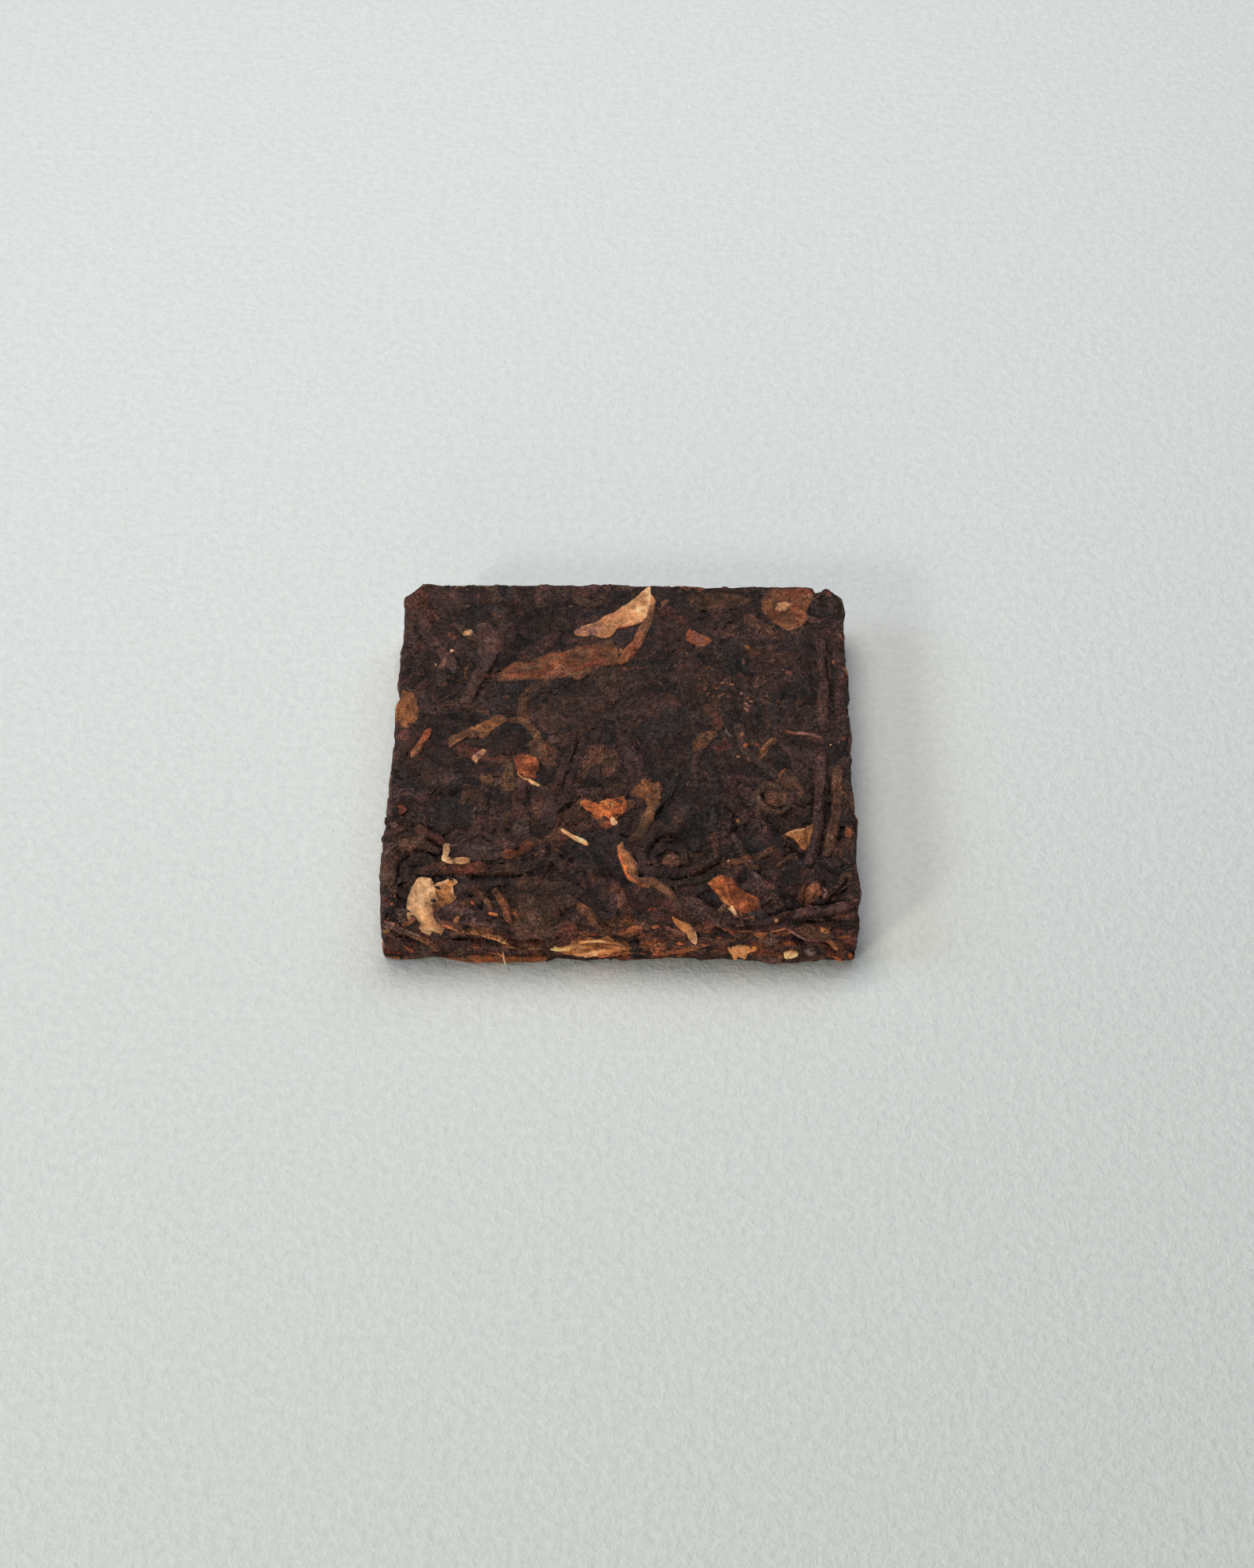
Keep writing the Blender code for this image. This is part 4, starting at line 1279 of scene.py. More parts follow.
def front_right_leaves(maker):
    """Leaves in the front right-hand corner."""
    strand, flake, score = partial(bold_strand, maker), maker.flake, maker.face.score
    flake((14.1, -15.0), (2.3, 1.3), 1.1, 0.14, "ochre", vein=0.6)
    strand([(13.4, -15.9), (13.4, -14.9), (13.8, -14.0)], 0.4, 0.16, "umber")
    score([(13.1, -15.7), (12.9, -14.6), (13.2, -13.7)], 0.12, 0.3)
    strand([(16.8, -13.4), (15.8, -14.6), (15.2, -15.6)], 0.5, 0.14, "mid")
    score([(17.0, -14.0), (16.1, -15.0), (15.3, -15.9)], 0.16, 0.4)
    strand([(4.8, -15.7), (6.0, -16.6), (7.6, -17.7), (9.8, -18.2), (11.5, -17.8), (13.0, -17.1),
            (14.7, -16.7), (17.3, -16.2)], 1.2, 0.3, ("mid", "mid", "purple", "purple", "purple"),
           2.2, stiff=1)
    score([(5.6, -17.4), (7.4, -18.6), (9.8, -19.0)], 0.2, 0.5)
    score([(11.6, -18.6), (13.2, -17.9), (14.9, -17.5), (17.0, -17.1)], 0.4, 0.8)
    score([(10.9, -17.2), (12.6, -16.6), (14.6, -16.1), (17.0, -15.6)], 0.24, 0.55)


def front_edge_leaves(maker):
    """Leaves that bend over the front edge."""
    strand, flake, score = partial(bold_strand, maker), maker.flake, maker.face.score
    flake((0.5, -18.2), (1.9, 1.8), 0.2, 0.14, "ochre", ragged=0.2, vein=0.8, fade=0.4)
    flake((-0.8, -17.6), (2.6, 1.3), -0.2, 0.12, "umber", ragged=0.25, vein=0.5)
    flake((3.2, -16.6), (4.2, 2.4), -0.4, 0.12, "red", ragged=0.2, vein=0.3)
    flake((-3.8, -18.2), (1.6, 2.2), 0.1, 0.12, "red", ragged=0.2, vein=0.3)
    strand([(-3.1, -16.3), (-2.4, -17.1), (-1.6, -18.1), (-0.7, -19.2)], 1.0, 0.18,
           ("ochre", "umber", "brown"), 3.0)
    score([(-3.4, -17.0), (-2.8, -17.9), (-2.0, -18.9)], 0.2, 0.5)
    score([(-4.6, -16.4), (-4.2, -17.3), (-4.4, -18.4), (-4.9, -19.2)], 0.14, 0.4)
    flake((-10.6, -17.6), (3.6, 1.3), 0.15, 0.14, "dark", ragged=0.3)
    score([(-12.4, -17.9), (-11.0, -18.2), (-9.6, -17.7)], 0.2, 0.4)


def top_leaves(maker):
    """The leaves of the upper face that stand out from the rest, laid in this order."""
    for group in (
        slate_patches, broad_leaves, right_bundles, left_ridge_and_middle, front_left_leaves,
        spiral_leaf, rolled_leaf, short_strips, front_right_leaves, front_edge_leaves,
    ):
        group(maker)


def folded_strip(maker):
    """A strip of peel that is folded over: brown outer side, a narrow band, pale inner side."""
    chip, node = maker.chip, "peel_folded_strip"
    chip(node, [(-9.9, 7.4), (-9.4, 8.2), (-8.7, 8.8), (-7.2, 8.8), (-6.9, 9.2), (-5.9, 9.9),
                (-4.6, 10.1), (-3.7, 10.9), (-2.9, 10.9), (-1.7, 11.1), (-0.9, 11.3), (-0.5, 10.4),
                (0.3, 10.3), (0.3, 8.8), (-1.7, 8.3), (-2.8, 7.6), (-3.3, 6.8), (-4.3, 7.1),
                (-5.7, 6.8), (-7.5, 6.9), (-8.0, 6.7), (-9.7, 6.6)], 0.12,
         ("russet", "russet", "rust", "russet", "ochre"), "umber", speckle=0.9, fade=0.3,
         ragged=0.1, dust=1.4, middle=(-4.6, 8.6))
    for stops, width in (
        ([(-9.2, 7.7), (-7.6, 8.0), (-6.0, 8.5), (-4.4, 8.9), (-3.0, 9.6)], 0.5),
        ([(-6.4, 7.4), (-4.6, 7.7), (-2.6, 8.6), (-0.8, 9.2)], 0.45),
    ):
        maker.strand(stops, width, 0.1, ("russet", "umber", "rust", "umber"), 1.6, kind=node,
                     ragged=0.3, fade=0.3, spread=0.1)
    maker.flake((0.1, 11.9), (1.5, 2.4), -0.3, 0.08, "slate", ragged=0.15, vein=0.0)
    maker.strand([(2.2, 16.3, 0.5), (2.2, 15.0, 0.7), (1.7, 12.8, 0.8), (0.9, 10.8, 0.85),
                 (0.3, 9.8, 0.85), (-0.3, 8.7, 0.6)], thick=0.16,
                 tint=("tan", "umber", "umber", "russet", "ochre"), kind=node, ragged=0.2, fade=0.2)
    chip(node, [(-4.0, 12.3), (-3.5, 12.8), (-2.3, 13.1), (-1.7, 13.7), (-0.6, 14.5), (0.3, 15.4),
                (1.3, 16.6), (2.1, 17.6), (2.2, 16.5), (2.1, 15.2), (1.8, 13.7), (1.3, 13.2),
                (0.3, 12.6), (-0.5, 12.5), (-0.9, 11.6), (-1.7, 11.4), (-2.5, 11.8), (-3.1, 11.6),
                (-3.8, 11.8)], 0.18, ("pink", "pink", "tan", "cream", "pith"), "tan", "rust", -1.4,
         0.9, 0.3, pits=0.05, speckle=0.8, dust=0.2, ragged=0.08, middle=(-0.2, 13.5))


def curled_strip(maker):
    """A curled strip: a broad head, a brown tail and a thin strand that runs to the front."""
    chip, strand, node = maker.chip, maker.strand, "peel_curled_strip"
    strand([(0.1, -10.1, 0.4), (0.0, -11.0, 0.6), (0.4, -12.0, 0.8), (0.6, -12.9, 0.9),
            (1.0, -13.7, 0.9), (1.5, -13.9, 0.8), (2.4, -14.1, 0.8), (3.2, -14.6, 0.8),
            (3.7, -15.4, 0.8), (4.1, -15.8, 0.6), (4.4, -16.7, 0.4)], thick=0.16, ragged=0.3,
           kind=node, ridges=3.2, fade=0.3, spread=0.05,
           tint=("umber", "ochre", "ochre", "umber", "umber", "umber", "brown", "olive"))
    strand([(-0.05, -10.6), (-0.1, -11.4), (0.2, -12.5), (0.5, -13.4), (1.1, -14.1), (2.2, -14.4)],
           0.24, 0.1, ("ochre", "orange", "flame", "orange", "ochre"), 1.0, kind=node, ragged=0.5,
           step=0.14, fade=0.2)
    strand([(2.4, -6.2, 0.7), (2.2, -6.9, 0.85), (1.9, -7.6, 0.85), (1.6, -8.5, 0.85),
            (1.0, -9.5, 0.7), (0.6, -9.9, 0.5)], thick=0.2,
           tint=("umber", "umber", "olive", "brown"), kind=node, ridges=3.0, ragged=0.25, fade=0.25)
    chip(node, [(0.7, -4.9), (1.0, -4.4), (1.7, -3.7), (2.1, -3.6), (2.4, -4.1), (2.8, -3.8),
                (3.1, -4.2), (3.1, -4.9), (3.0, -6.2), (2.7, -6.8), (2.2, -6.9), (1.7, -5.7),
                (1.1, -5.4), (0.8, -5.3)], 0.13, ("umber", "ochre", "umber"), "ochre", fade=0.12,
         speckle=1.3, ragged=0.16, pits=0.12, middle=(2.2, -4.9))
    for stops, tint in (
        ([(0.9, -4.7), (1.6, -4.9), (2.2, -5.8), (2.3, -6.8)], "ochre"),
        ([(1.5, -3.8), (2.1, -4.8), (2.6, -5.9)], "gold"),
        ([(2.9, -4.1), (2.8, -5.2), (2.5, -6.3), (2.2, -7.4)], "umber"),
    ):
        strand(stops, 0.32, 0.12, (tint, "umber"), 1.4, kind=node, ragged=0.5, step=0.15, fade=0.2)


def large_cream_piece(maker):
    """The palest piece: a smooth cream lobe, a toothed gold one and a small brown one."""
    chip, flake, node = maker.chip, maker.flake, "peel_cream_large"
    chip(node, [(-12.9, -17.9), (-12.5, -17.4), (-12.0, -17.1), (-11.6, -17.4), (-11.8, -17.9),
                (-12.1, -18.3), (-12.5, -18.5), (-12.9, -19.0), (-13.2, -19.2), (-12.9, -18.5)],
         0.14, "umber", "tan", speckle=0.9, fade=0.08)
    chip(node, [(-13.8, -14.5), (-13.5, -14.1), (-13.1, -13.9), (-12.5, -13.7), (-12.2, -13.9),
                (-12.0, -14.3), (-12.4, -14.5), (-12.4, -14.9), (-12.3, -15.2), (-11.9, -15.4),
                (-12.2, -15.6), (-12.5, -16.0), (-12.5, -16.6), (-12.8, -17.0), (-13.1, -16.8),
                (-13.4, -16.1), (-13.7, -15.4), (-13.8, -14.9)], 0.3, ("cream", "gold", "cream"),
         "gold", "pith", 1.2, 1.4, 0.2, pits=0.05, speckle=0.9, ragged=0.1, middle=(-13.0, -15.2))
    flake((-12.3, -16.9), (0.9, 0.45), 0.7, 0.08, "dark", ragged=0.3, kind="crumbs", vein=0.0)
    flake((-12.0, -16.3), (0.8, 0.5), -0.6, 0.07, "mid", ragged=0.3, kind="crumbs", vein=0.0)
    chip(node, [(-14.9, -13.8), (-14.6, -13.7), (-14.0, -13.8), (-13.8, -14.1), (-13.8, -14.5),
                (-13.5, -15.4), (-13.3, -15.9), (-13.5, -16.4), (-13.1, -17.0), (-13.0, -17.4),
                (-12.7, -17.6), (-12.8, -18.5), (-13.2, -19.4), (-14.0, -19.6), (-14.8, -19.0),
                (-15.3, -18.2), (-15.6, -17.5), (-15.7, -16.6), (-15.6, -15.6), (-15.4, -14.7)],
         0.3, ("pith", "pith", "cream"), "cream", pits=0.05, ragged=0.05, speckle=0.7, doming=0.18,
         dust=0.2, middle=(-14.3, -16.6))
    chip(node, [(-13.8, -15.8), (-13.4, -16.0), (-13.2, -16.8), (-13.6, -17.1), (-13.9, -16.4)],
         0.05, "tan", "ochre", fade=0.0, dust=0.3, cell=0.1, ragged=0.1)


def short_strip(maker):
    """A short strip in the left half."""
    maker.chip("peel_short_strip", [(-13.5, 0.2), (-13.3, 0.7), (-12.6, 1.2), (-11.7, 1.7),
               (-10.7, 2.3), (-9.9, 2.9), (-9.3, 3.1), (-8.8, 2.8), (-8.8, 2.4), (-9.5, 1.8),
               (-10.1, 1.2), (-10.4, 0.6), (-11.6, 0.7), (-12.2, 0.8), (-12.9, 0.1), (-13.3, -0.7)],
               0.14, ("umber", "tan", "ochre", "ochre"), "umber", fade=0.2, speckle=0.9)


def orange_left(maker):
    """A small chip of rind with a thin edge of pith."""
    maker.chip("peel_orange_left", [(-8.4, -1.3), (-8.0, -0.9), (-7.4, -0.9), (-6.9, -1.2),
               (-6.5, -1.7), (-6.3, -2.1), (-6.3, -2.7), (-6.6, -3.1), (-6.4, -3.6), (-6.8, -3.7),
               (-7.3, -3.6), (-7.8, -3.2), (-8.1, -2.6), (-8.2, -1.9)], 0.18, "rust", "orange",
               fade=0.1, speckle=0.6)
    maker.strand([(-7.9, -2.9, 0.14), (-7.8, -3.3, 0.2), (-7.4, -3.6, 0.22), (-7.0, -3.8, 0.26),
                 (-6.6, -4.1, 0.36), (-6.2, -4.3, 0.3)], thick=0.14,
                 tint=("flame", "tan", "cream", "pith"), ragged=0.4, kind="peel_orange_left",
                 ridges=1.0, lumpy=1.6, fade=0.1, step=0.12)


def orange_middle(maker):
    """A chip of rind, its darker lower corner and a bit of pith."""
    maker.chip("peel_orange_middle", [(-3.2, -5.9), (-2.9, -5.8), (-2.3, -5.9), (-1.8, -6.1),
               (-0.4, -5.5), (0.0, -5.3), (0.3, -5.3), (0.4, -6.2), (0.4, -6.7), (0.0, -7.5),
               (-0.4, -8.1), (-0.8, -8.0), (-1.1, -7.7), (-1.6, -7.6), (-2.0, -7.5), (-2.3, -7.0),
               (-2.9, -6.7), (-3.2, -6.3)], 0.16, ("flame", "orange", "rust", "orange"), "flame",
               "gold", 2.1, 1.1, 0.22, pits=0.1, speckle=1.5, fade=0.04, ragged=0.1)
    maker.chip("peel_orange_middle", [(-2.5, -7.2), (-2.0, -7.7), (-1.6, -8.6), (-1.1, -8.7),
               (-0.7, -8.6), (-0.4, -8.2), (-1.1, -7.7), (-2.0, -7.3)], 0.12, "umber", "orange",
               fade=0.15)
    maker.chip("peel_orange_middle", [(-0.8, -7.6), (-0.4, -7.7), (-0.2, -8.0), (-0.4, -8.4),
               (-0.7, -8.3)], 0.16, "pith", "pith", ragged=0.12, dust=0.4, cell=0.1)


def orange_right(maker):
    """A chip of rind with two bright ridges and a bit of pith."""
    maker.chip("peel_orange_right", [(6.4, -14.2), (6.9, -13.6), (7.6, -13.3), (8.4, -13.6),
               (8.6, -14.2), (9.4, -15.1), (10.2, -15.6), (10.6, -17.2), (10.2, -17.4),
               (9.4, -17.5), (8.9, -17.5), (8.4, -17.2), (7.8, -16.5), (7.2, -15.3), (6.9, -14.8)],
               0.18, ("flame", "orange", "orange"), "rust", "gold", 3.4, 1.2, 0.25, fade=0.06,
               speckle=0.9, pits=0.1, ragged=0.1)
    for stops, tint in (
        ([(7.5, -13.6), (7.8, -14.5), (8.1, -15.1)], ("orange", "flame")),
        ([(7.1, -14.5), (7.6, -15.4), (8.0, -16.2)], ("flame", "gold")),
    ):
        maker.strand(stops, 0.3, 0.1, tint, 1.0, kind="peel_orange_right", ragged=0.4, step=0.14,
                     fade=0.1)
    maker.chip("peel_orange_right", [(8.0, -16.0), (8.4, -16.3), (8.6, -17.2), (8.4, -17.2),
               (8.0, -16.6)], 0.12, "pith", "cream", ragged=0.12, dust=0.3, cell=0.1)


def tan_triangle(maker):
    """A three-cornered piece that stands out over a crease."""
    maker.chip("peel_tan_triangle", [(12.2, -9.2), (13.0, -8.8), (13.7, -8.5), (14.4, -8.0),
               (14.5, -8.6), (14.2, -9.7), (13.8, -10.8), (13.4, -10.5), (13.3, -9.9),
               (12.8, -9.6)], 0.26, ("tan", "gold", "tan"), "ochre", "cream", 2.2, 1.2, 0.4,
               pits=0.08, speckle=0.8, dust=0.3, middle=(13.7, -9.2))
    maker.face.score([(12.5, -10.0), (12.9, -10.6), (13.4, -11.1), (13.9, -11.0)], 0.22, 0.45)


def needle(maker):
    """A thin stick of pith."""
    maker.chip("peel_needle", [(-4.6, -8.95), (-4.3, -8.9), (-3.9, -9.2), (-3.3, -9.55),
               (-2.7, -10.0), (-2.4, -10.35), (-2.5, -10.5), (-2.9, -10.32), (-3.4, -9.95),
               (-3.9, -9.6), (-4.4, -9.25)], 0.24, ("pith", "cream", "pith", "cream"), "cream",
               dust=0.0, cell=0.08, ragged=0.06, doming=0.1)


def ring(maker):
    """A round piece at the back edge with a pale middle."""
    maker.chip("peel_ring", [(11.0, 15.4), (11.1, 16.3), (11.8, 17.1), (13.0, 17.4), (14.9, 17.6),
               (15.3, 17.6), (15.2, 15.8), (14.8, 14.9), (14.6, 13.5), (13.9, 12.7), (13.1, 12.2),
               (12.5, 12.7), (11.8, 13.2), (11.4, 14.0), (11.0, 14.7)], 0.12,
               ("russet", "russet", "rust"), "umber", "ochre", -1.6, 2.2, 0.7, speckle=1.0,
               fade=0.25, ragged=0.12, dust=1.6)
    maker.chip("peel_ring", [(11.9, 15.1), (12.3, 15.8), (12.9, 16.0), (13.6, 15.5), (13.4, 14.9),
               (12.5, 14.4), (12.1, 14.5)], 0.12, ("cream", "tan"), "umber", ragged=0.2, fade=0.3,
               speckle=1.2)


def chip_back(maker):
    """A small chip in the back half."""
    maker.chip("peel_chip_back", [(4.8, 11.8), (5.1, 12.5), (5.5, 12.6), (6.0, 12.2), (6.5, 11.8),
               (6.9, 11.2), (6.7, 10.5), (6.1, 10.3), (5.6, 10.7), (5.0, 11.0)], 0.12,
               ("rust", "pink"), "orange", fade=0.12, ragged=0.12)


def left_edge(maker):
    """A piece that bends over the left edge."""
    maker.chip("peel_left_edge", [(-17.6, 5.6), (-16.6, 5.3), (-16.0, 4.7), (-15.8, 3.1),
               (-15.9, 2.2), (-16.7, 1.4), (-17.4, 2.2), (-18.3, 1.8), (-18.3, 3.6)], 0.12, "ochre",
               "ochre", fade=0.12, ragged=0.12, speckle=1.0, dust=1.5)


def gold_front(maker):
    """A curved piece that bends over the front edge, with a brown bit."""
    maker.chip("peel_gold_front", [(3.8, -17.3), (4.4, -17.7), (5.1, -17.8), (5.5, -18.4),
               (5.7, -19.5), (5.6, -20.2), (5.1, -19.7), (4.9, -19.0), (4.5, -18.3), (4.0, -17.8)],
               0.34, ("gold", "cream"), "gold", "pith", -1.0, 1.4, 0.3, pits=0.09, speckle=1.1)
    maker.chip("peel_gold_front", [(5.6, -17.9), (6.2, -17.9), (6.7, -18.4), (6.6, -19.1),
               (6.1, -19.3), (5.7, -19.0)], 0.34, "umber", "ochre", fade=0.08, speckle=1.2)


def top_peel(maker):
    """The pieces of peel that show on the upper face and over its edges, laid in this order."""
    for piece in (
        folded_strip, curled_strip, large_cream_piece, short_strip, orange_left, orange_middle,
        orange_right, tan_triangle, needle, ring, chip_back, left_edge, gold_front,
    ):
        piece(maker)


def top_bits(maker):
    """Slivers and dots of peel that are too small to be pieces of their own."""
    strand, chip, rng, bits = maker.strand, maker.chip, maker.rng, "peel_bits"
    chip(bits, [(-13.2, -10.3), (-12.8, -10.2), (-12.7, -10.9), (-12.85, -11.4), (-12.4, -11.6),
                (-11.8, -11.5), (-11.2, -11.7), (-11.2, -12.1), (-11.9, -12.3), (-12.7, -12.4),
                (-13.3, -12.3), (-13.4, -11.4)], 0.24, ("pith", "pith", "cream"), "cream", dust=0.2,
         cell=0.1, ragged=0.1, middle=(-12.95, -11.8))
    strand([(-12.9, -10.5), (-12.1, -10.1), (-11.6, -9.6), (-10.9, -9.1)], 0.25, 0.12,
           ("pink", "purple"), 1.0, kind=bits, ragged=0.3, step=0.15)
    chip(bits, [(-9.0, -11.3), (-8.6, -10.9), (-7.7, -10.9), (-7.4, -10.0), (-6.9, -9.6),
                (-6.5, -9.9), (-6.4, -10.5), (-6.8, -11.0), (-7.6, -11.3), (-8.1, -11.8),
                (-8.8, -11.8)], 0.12, ("russet", "rust", "ochre"), "russet", fade=0.2, speckle=1.0)
    chip(bits, [(-11.6, -1.6), (-11.3, -1.1), (-10.7, -0.6), (-10.4, -0.9), (-10.6, -1.4),
                (-11.0, -1.8), (-11.1, -2.2), (-11.4, -1.8)], 0.1, "pink", "cream", fade=0.12,
         cell=0.1)
    chip(bits, [(-10.9, -3.5), (-10.6, -3.2), (-10.0, -3.1), (-9.7, -3.9), (-10.1, -4.4),
                (-10.6, -4.2)], 0.1, "umber", "brown", "brown", 0.0, 3.2, 0.25, cell=0.1)
    strand([(-14.9, 1.4), (-15.1, 0.8), (-15.5, 0.0), (-15.8, -0.7), (-16.0, -1.6)], 0.5, 0.12,
           ("rust", "russet", "umber"), 1.4, kind=bits, ragged=0.3, fade=0.3)
    strand([(12.6, 1.5), (13.2, 1.3), (14.1, 1.2), (14.9, 0.9), (15.4, 0.5)], 0.3, 0.12,
           ("russet", "pink", "red"), 1.0, kind=bits, ragged=0.3, step=0.15)
    strand([(-12.3, -19.2), (-11.0, -19.0), (-10.0, -19.0), (-9.1, -19.8), (-8.3, -20.3)], 0.4,
           0.18, ("umber", "ochre", "tan", "cream"), 1.0, kind=bits, lumpy=1.5, ragged=0.3,
           step=0.16)
    strand([(-8.2, -20.4), (-6.8, -20.8), (-5.2, -20.8)], 0.3, 0.16, ("umber", "brown"), 1.0,
           kind=bits)
    strand([(-9.6, -17.2), (-8.9, -17.3)], 0.22, 0.12, ("flame", "tan"), 1.0, kind=bits, step=0.12)
    strand([(12.5, -4.2), (12.0, -3.3), (12.5, -2.4)], 0.3, 0.1, ("red", "ochre"), 1.0, kind=bits)
    strand([(14.9, -14.5), (15.2, -14.9), (15.0, -15.5)], 0.22, 0.12, ("ash", "pink"), 1.0,
           kind=bits)
    for x, y, size, tint, second in (
        (-12.2, 12.1, 0.7, "cream", "pith"),
        (-11.2, 11.7, 0.6, "red", "umber"),
        (-13.8, 11.8, 0.5, "red", "russet"),
        (-14.9, 13.7, 0.5, "red", "umber"),
        (-13.5, 9.9, 0.5, "tan", "pith"),
        (-14.7, 8.3, 0.5, "tan", "pith"),
        (-14.1, 8.3, 1.0, "pink", "umber"),
        (-8.1, 14.4, 0.4, "pink", "ash"),
        (-4.3, 15.0, 0.4, "pink", "ash"),
        (-11.6, 16.0, 0.4, "ash", "umber"),
        (-1.4, 17.4, 0.7, "brown", "umber"),
        (-5.3, -4.4, 0.35, "ochre", "gold"),
        (-17.3, -1.4, 0.6, "umber", "ochre"),
        (3.3, 15.4, 0.7, "umber", "brown"),
        (9.8, 10.5, 0.6, "umber", "ochre"),
        (9.5, 8.8, 0.5, "olive", "brown"),
        (11.8, 9.5, 0.6, "red", "russet"),
        (13.0, 7.7, 0.5, "red", "russet"),
        (6.7, 8.2, 0.5, "umber", "russet"),
        (5.0, 9.6, 0.5, "umber", "russet"),
        (7.8, 6.6, 0.4, "umber", "ochre"),
        (10.5, 6.3, 0.4, "red", "pink"),
        (9.2, 1.0, 0.5, "rust", "tan"),
        (9.5, -0.1, 0.6, "rust", "orange"),
        (10.3, 0.0, 0.5, "rust", "pink"),
        (8.9, -1.3, 0.25, "tan", "pith"),
        (8.8, -7.8, 0.3, "tan", "cream"),
        (4.2, -3.2, 0.25, "tan", "cream"),
        (11.5, -17.5, 0.35, "tan", "cream"),
        (16.0, 0.0, 0.35, "cream", "pith"),
        (17.0, 0.7, 0.35, "rust", "pink"),
        (16.8, -5.0, 0.6, "umber", "ochre"),
        (-6.3, -11.3, 0.35, "gold", "cream"),
        (-5.7, -11.3, 0.3, "ochre", "gold"),
        (-4.7, -11.1, 0.7, "red", "rust"),
        (-0.7, -6.2, 0.25, "gold", "cream"),
        (-0.1, -5.9, 0.25, "gold", "cream"),
        (0.4, -4.9, 0.35, "pink", "tan"),
        (8.0, -12.1, 0.4, "tan", "cream"),
        (-3.5, -7.7, 0.5, "brown", "umber"),
        (-10.8, -16.3, 0.5, "rust", "orange"),
        (-9.8, -15.4, 0.5, "brown", "umber"),
        (-3.8, -15.4, 0.5, "brown", "umber"),
        (-14.1, -12.6, 0.4, "red", "rust"),
    ):
        shard(maker, x, y, size, tint, second)
    # A curved trail of the smallest dots, three at each place
    for x, y in ((6.0, 7.0), (6.3, 6.1), (6.7, 5.4), (7.2, 5.1), (7.7, 5.2), (8.5, 6.1), (8.9, 5.3),
                 (9.6, 4.7), (9.7, 3.9), (7.4, 5.9), (8.2, 5.2)):
        for _ in range(3):
            tint, second = rng.choice(["umber", "pink", "tan", "red"], 2)
            spot = (x + rng.normal(0, 0.2), y + rng.normal(0, 0.2))
            shard(maker, *spot, rng.uniform(0.2, 0.5), tint, second)


def shard(maker, x, y, size, tint, second):
    """A small crooked bit of peel."""
    rng = maker.rng
    turns = (np.arange(8) + rng.uniform(-0.4, 0.4, 8)) * np.pi / 4
    reach = size / 2 * rng.uniform(0.6, 1.3, 8)
    away = np.stack([1.3 * reach * np.cos(turns), 0.85 * reach * np.sin(turns)], 1)
    lean = rng.uniform(0, np.pi)
    turn = np.array([[np.cos(lean), np.sin(lean)], [-np.sin(lean), np.cos(lean)]])
    maker.chip("peel_bits", away @ turn + (x, y), 0.08, tint, second, ragged=0.12, cell=0.1,
               fade=0.25 * size, dust=0.4, stiff=3)


def main_top():
    """The upper face: leaves, creases, crumbs and peel, laid in this order."""
    span = HALF + MARGIN
    face = Face("top", (-span, -span - FRONT_DROP), (span, span), place_on_top, sink=0.1,
                lip=0.3, loose=1.9, pale=1.15, fine=0.78)
    maker = Maker(face, 11)
    heading_of = headings(maker, 7.5, 2.2, 0.5)
    area = ((-HALF - PAST_EDGE, -HALF - PAST_FRONT), (HALF + PAST_EDGE, HALF + PAST_EDGE))
    litter(maker, area, 300, heading_of, 0.25, 5.0, 4.2)
    fill_gaps(maker, area)
    litter(maker, area, 300, heading_of, 0.5, 4.6, 3.2, 1.5)
    fill_holes(maker, area)
    front = ((-HALF, -HALF - PAST_FRONT), (HALF, -4.5))
    litter(maker, front, 95, heading_of, 0.8, 4.6, 2.8, 3.0, FRONT_MIX)
    fill_holes(maker, area)
    crevices(maker, area, 200, heading_of, 0.17)
    crevices(maker, ((-HALF, -HALF - PAST_FRONT), (HALF, -5.0)), 120, heading_of, 0.3)
    top_leaves(maker)
    fill_holes(maker, area, 0.7)
    crumbs(maker, area, 450)
    fibres(maker, area, 130, heading_of)
    crumbs(maker, area, 130, 0.3)
    top_peel(maker)
    top_bits(maker)
    return face


def under_peel(maker):
    """A few larger pieces of peel in the lower face, as in the upper one."""
    rng = maker.rng
    for x, y, long, wide, lean, tint, second in (
        (-9.2, 7.6, 2.6, 1.5, 0.4, "rust", "orange"),
        (6.4, -10.3, 3.4, 1.3, -0.5, "ochre", "umber"),
        (11.7, 9.8, 1.9, 1.2, 1.2, "tan", "gold"),
        (-3.1, -4.9, 1.6, 1.0, 0.1, "russet", "ochre"),
        (-12.8, -11.2, 2.8, 0.9, 0.9, "umber", "tan"),
        (2.5, 12.6, 2.2, 1.1, -0.2, "rust", "flame"),
    ):
        turns = np.arange(9) * 2 * np.pi / 9
        reach = rng.uniform(0.7, 1.15, 9)
        a, b = long / 2 * reach * np.cos(turns), wide / 2 * reach * np.sin(turns)
        c, s = np.cos(lean), np.sin(lean)
        stops = np.stack([x + a * c - b * s, y + a * s + b * c], 1)
        maker.chip("peel_bits", stops, 0.12, tint, second, fade=0.25, ragged=0.12)


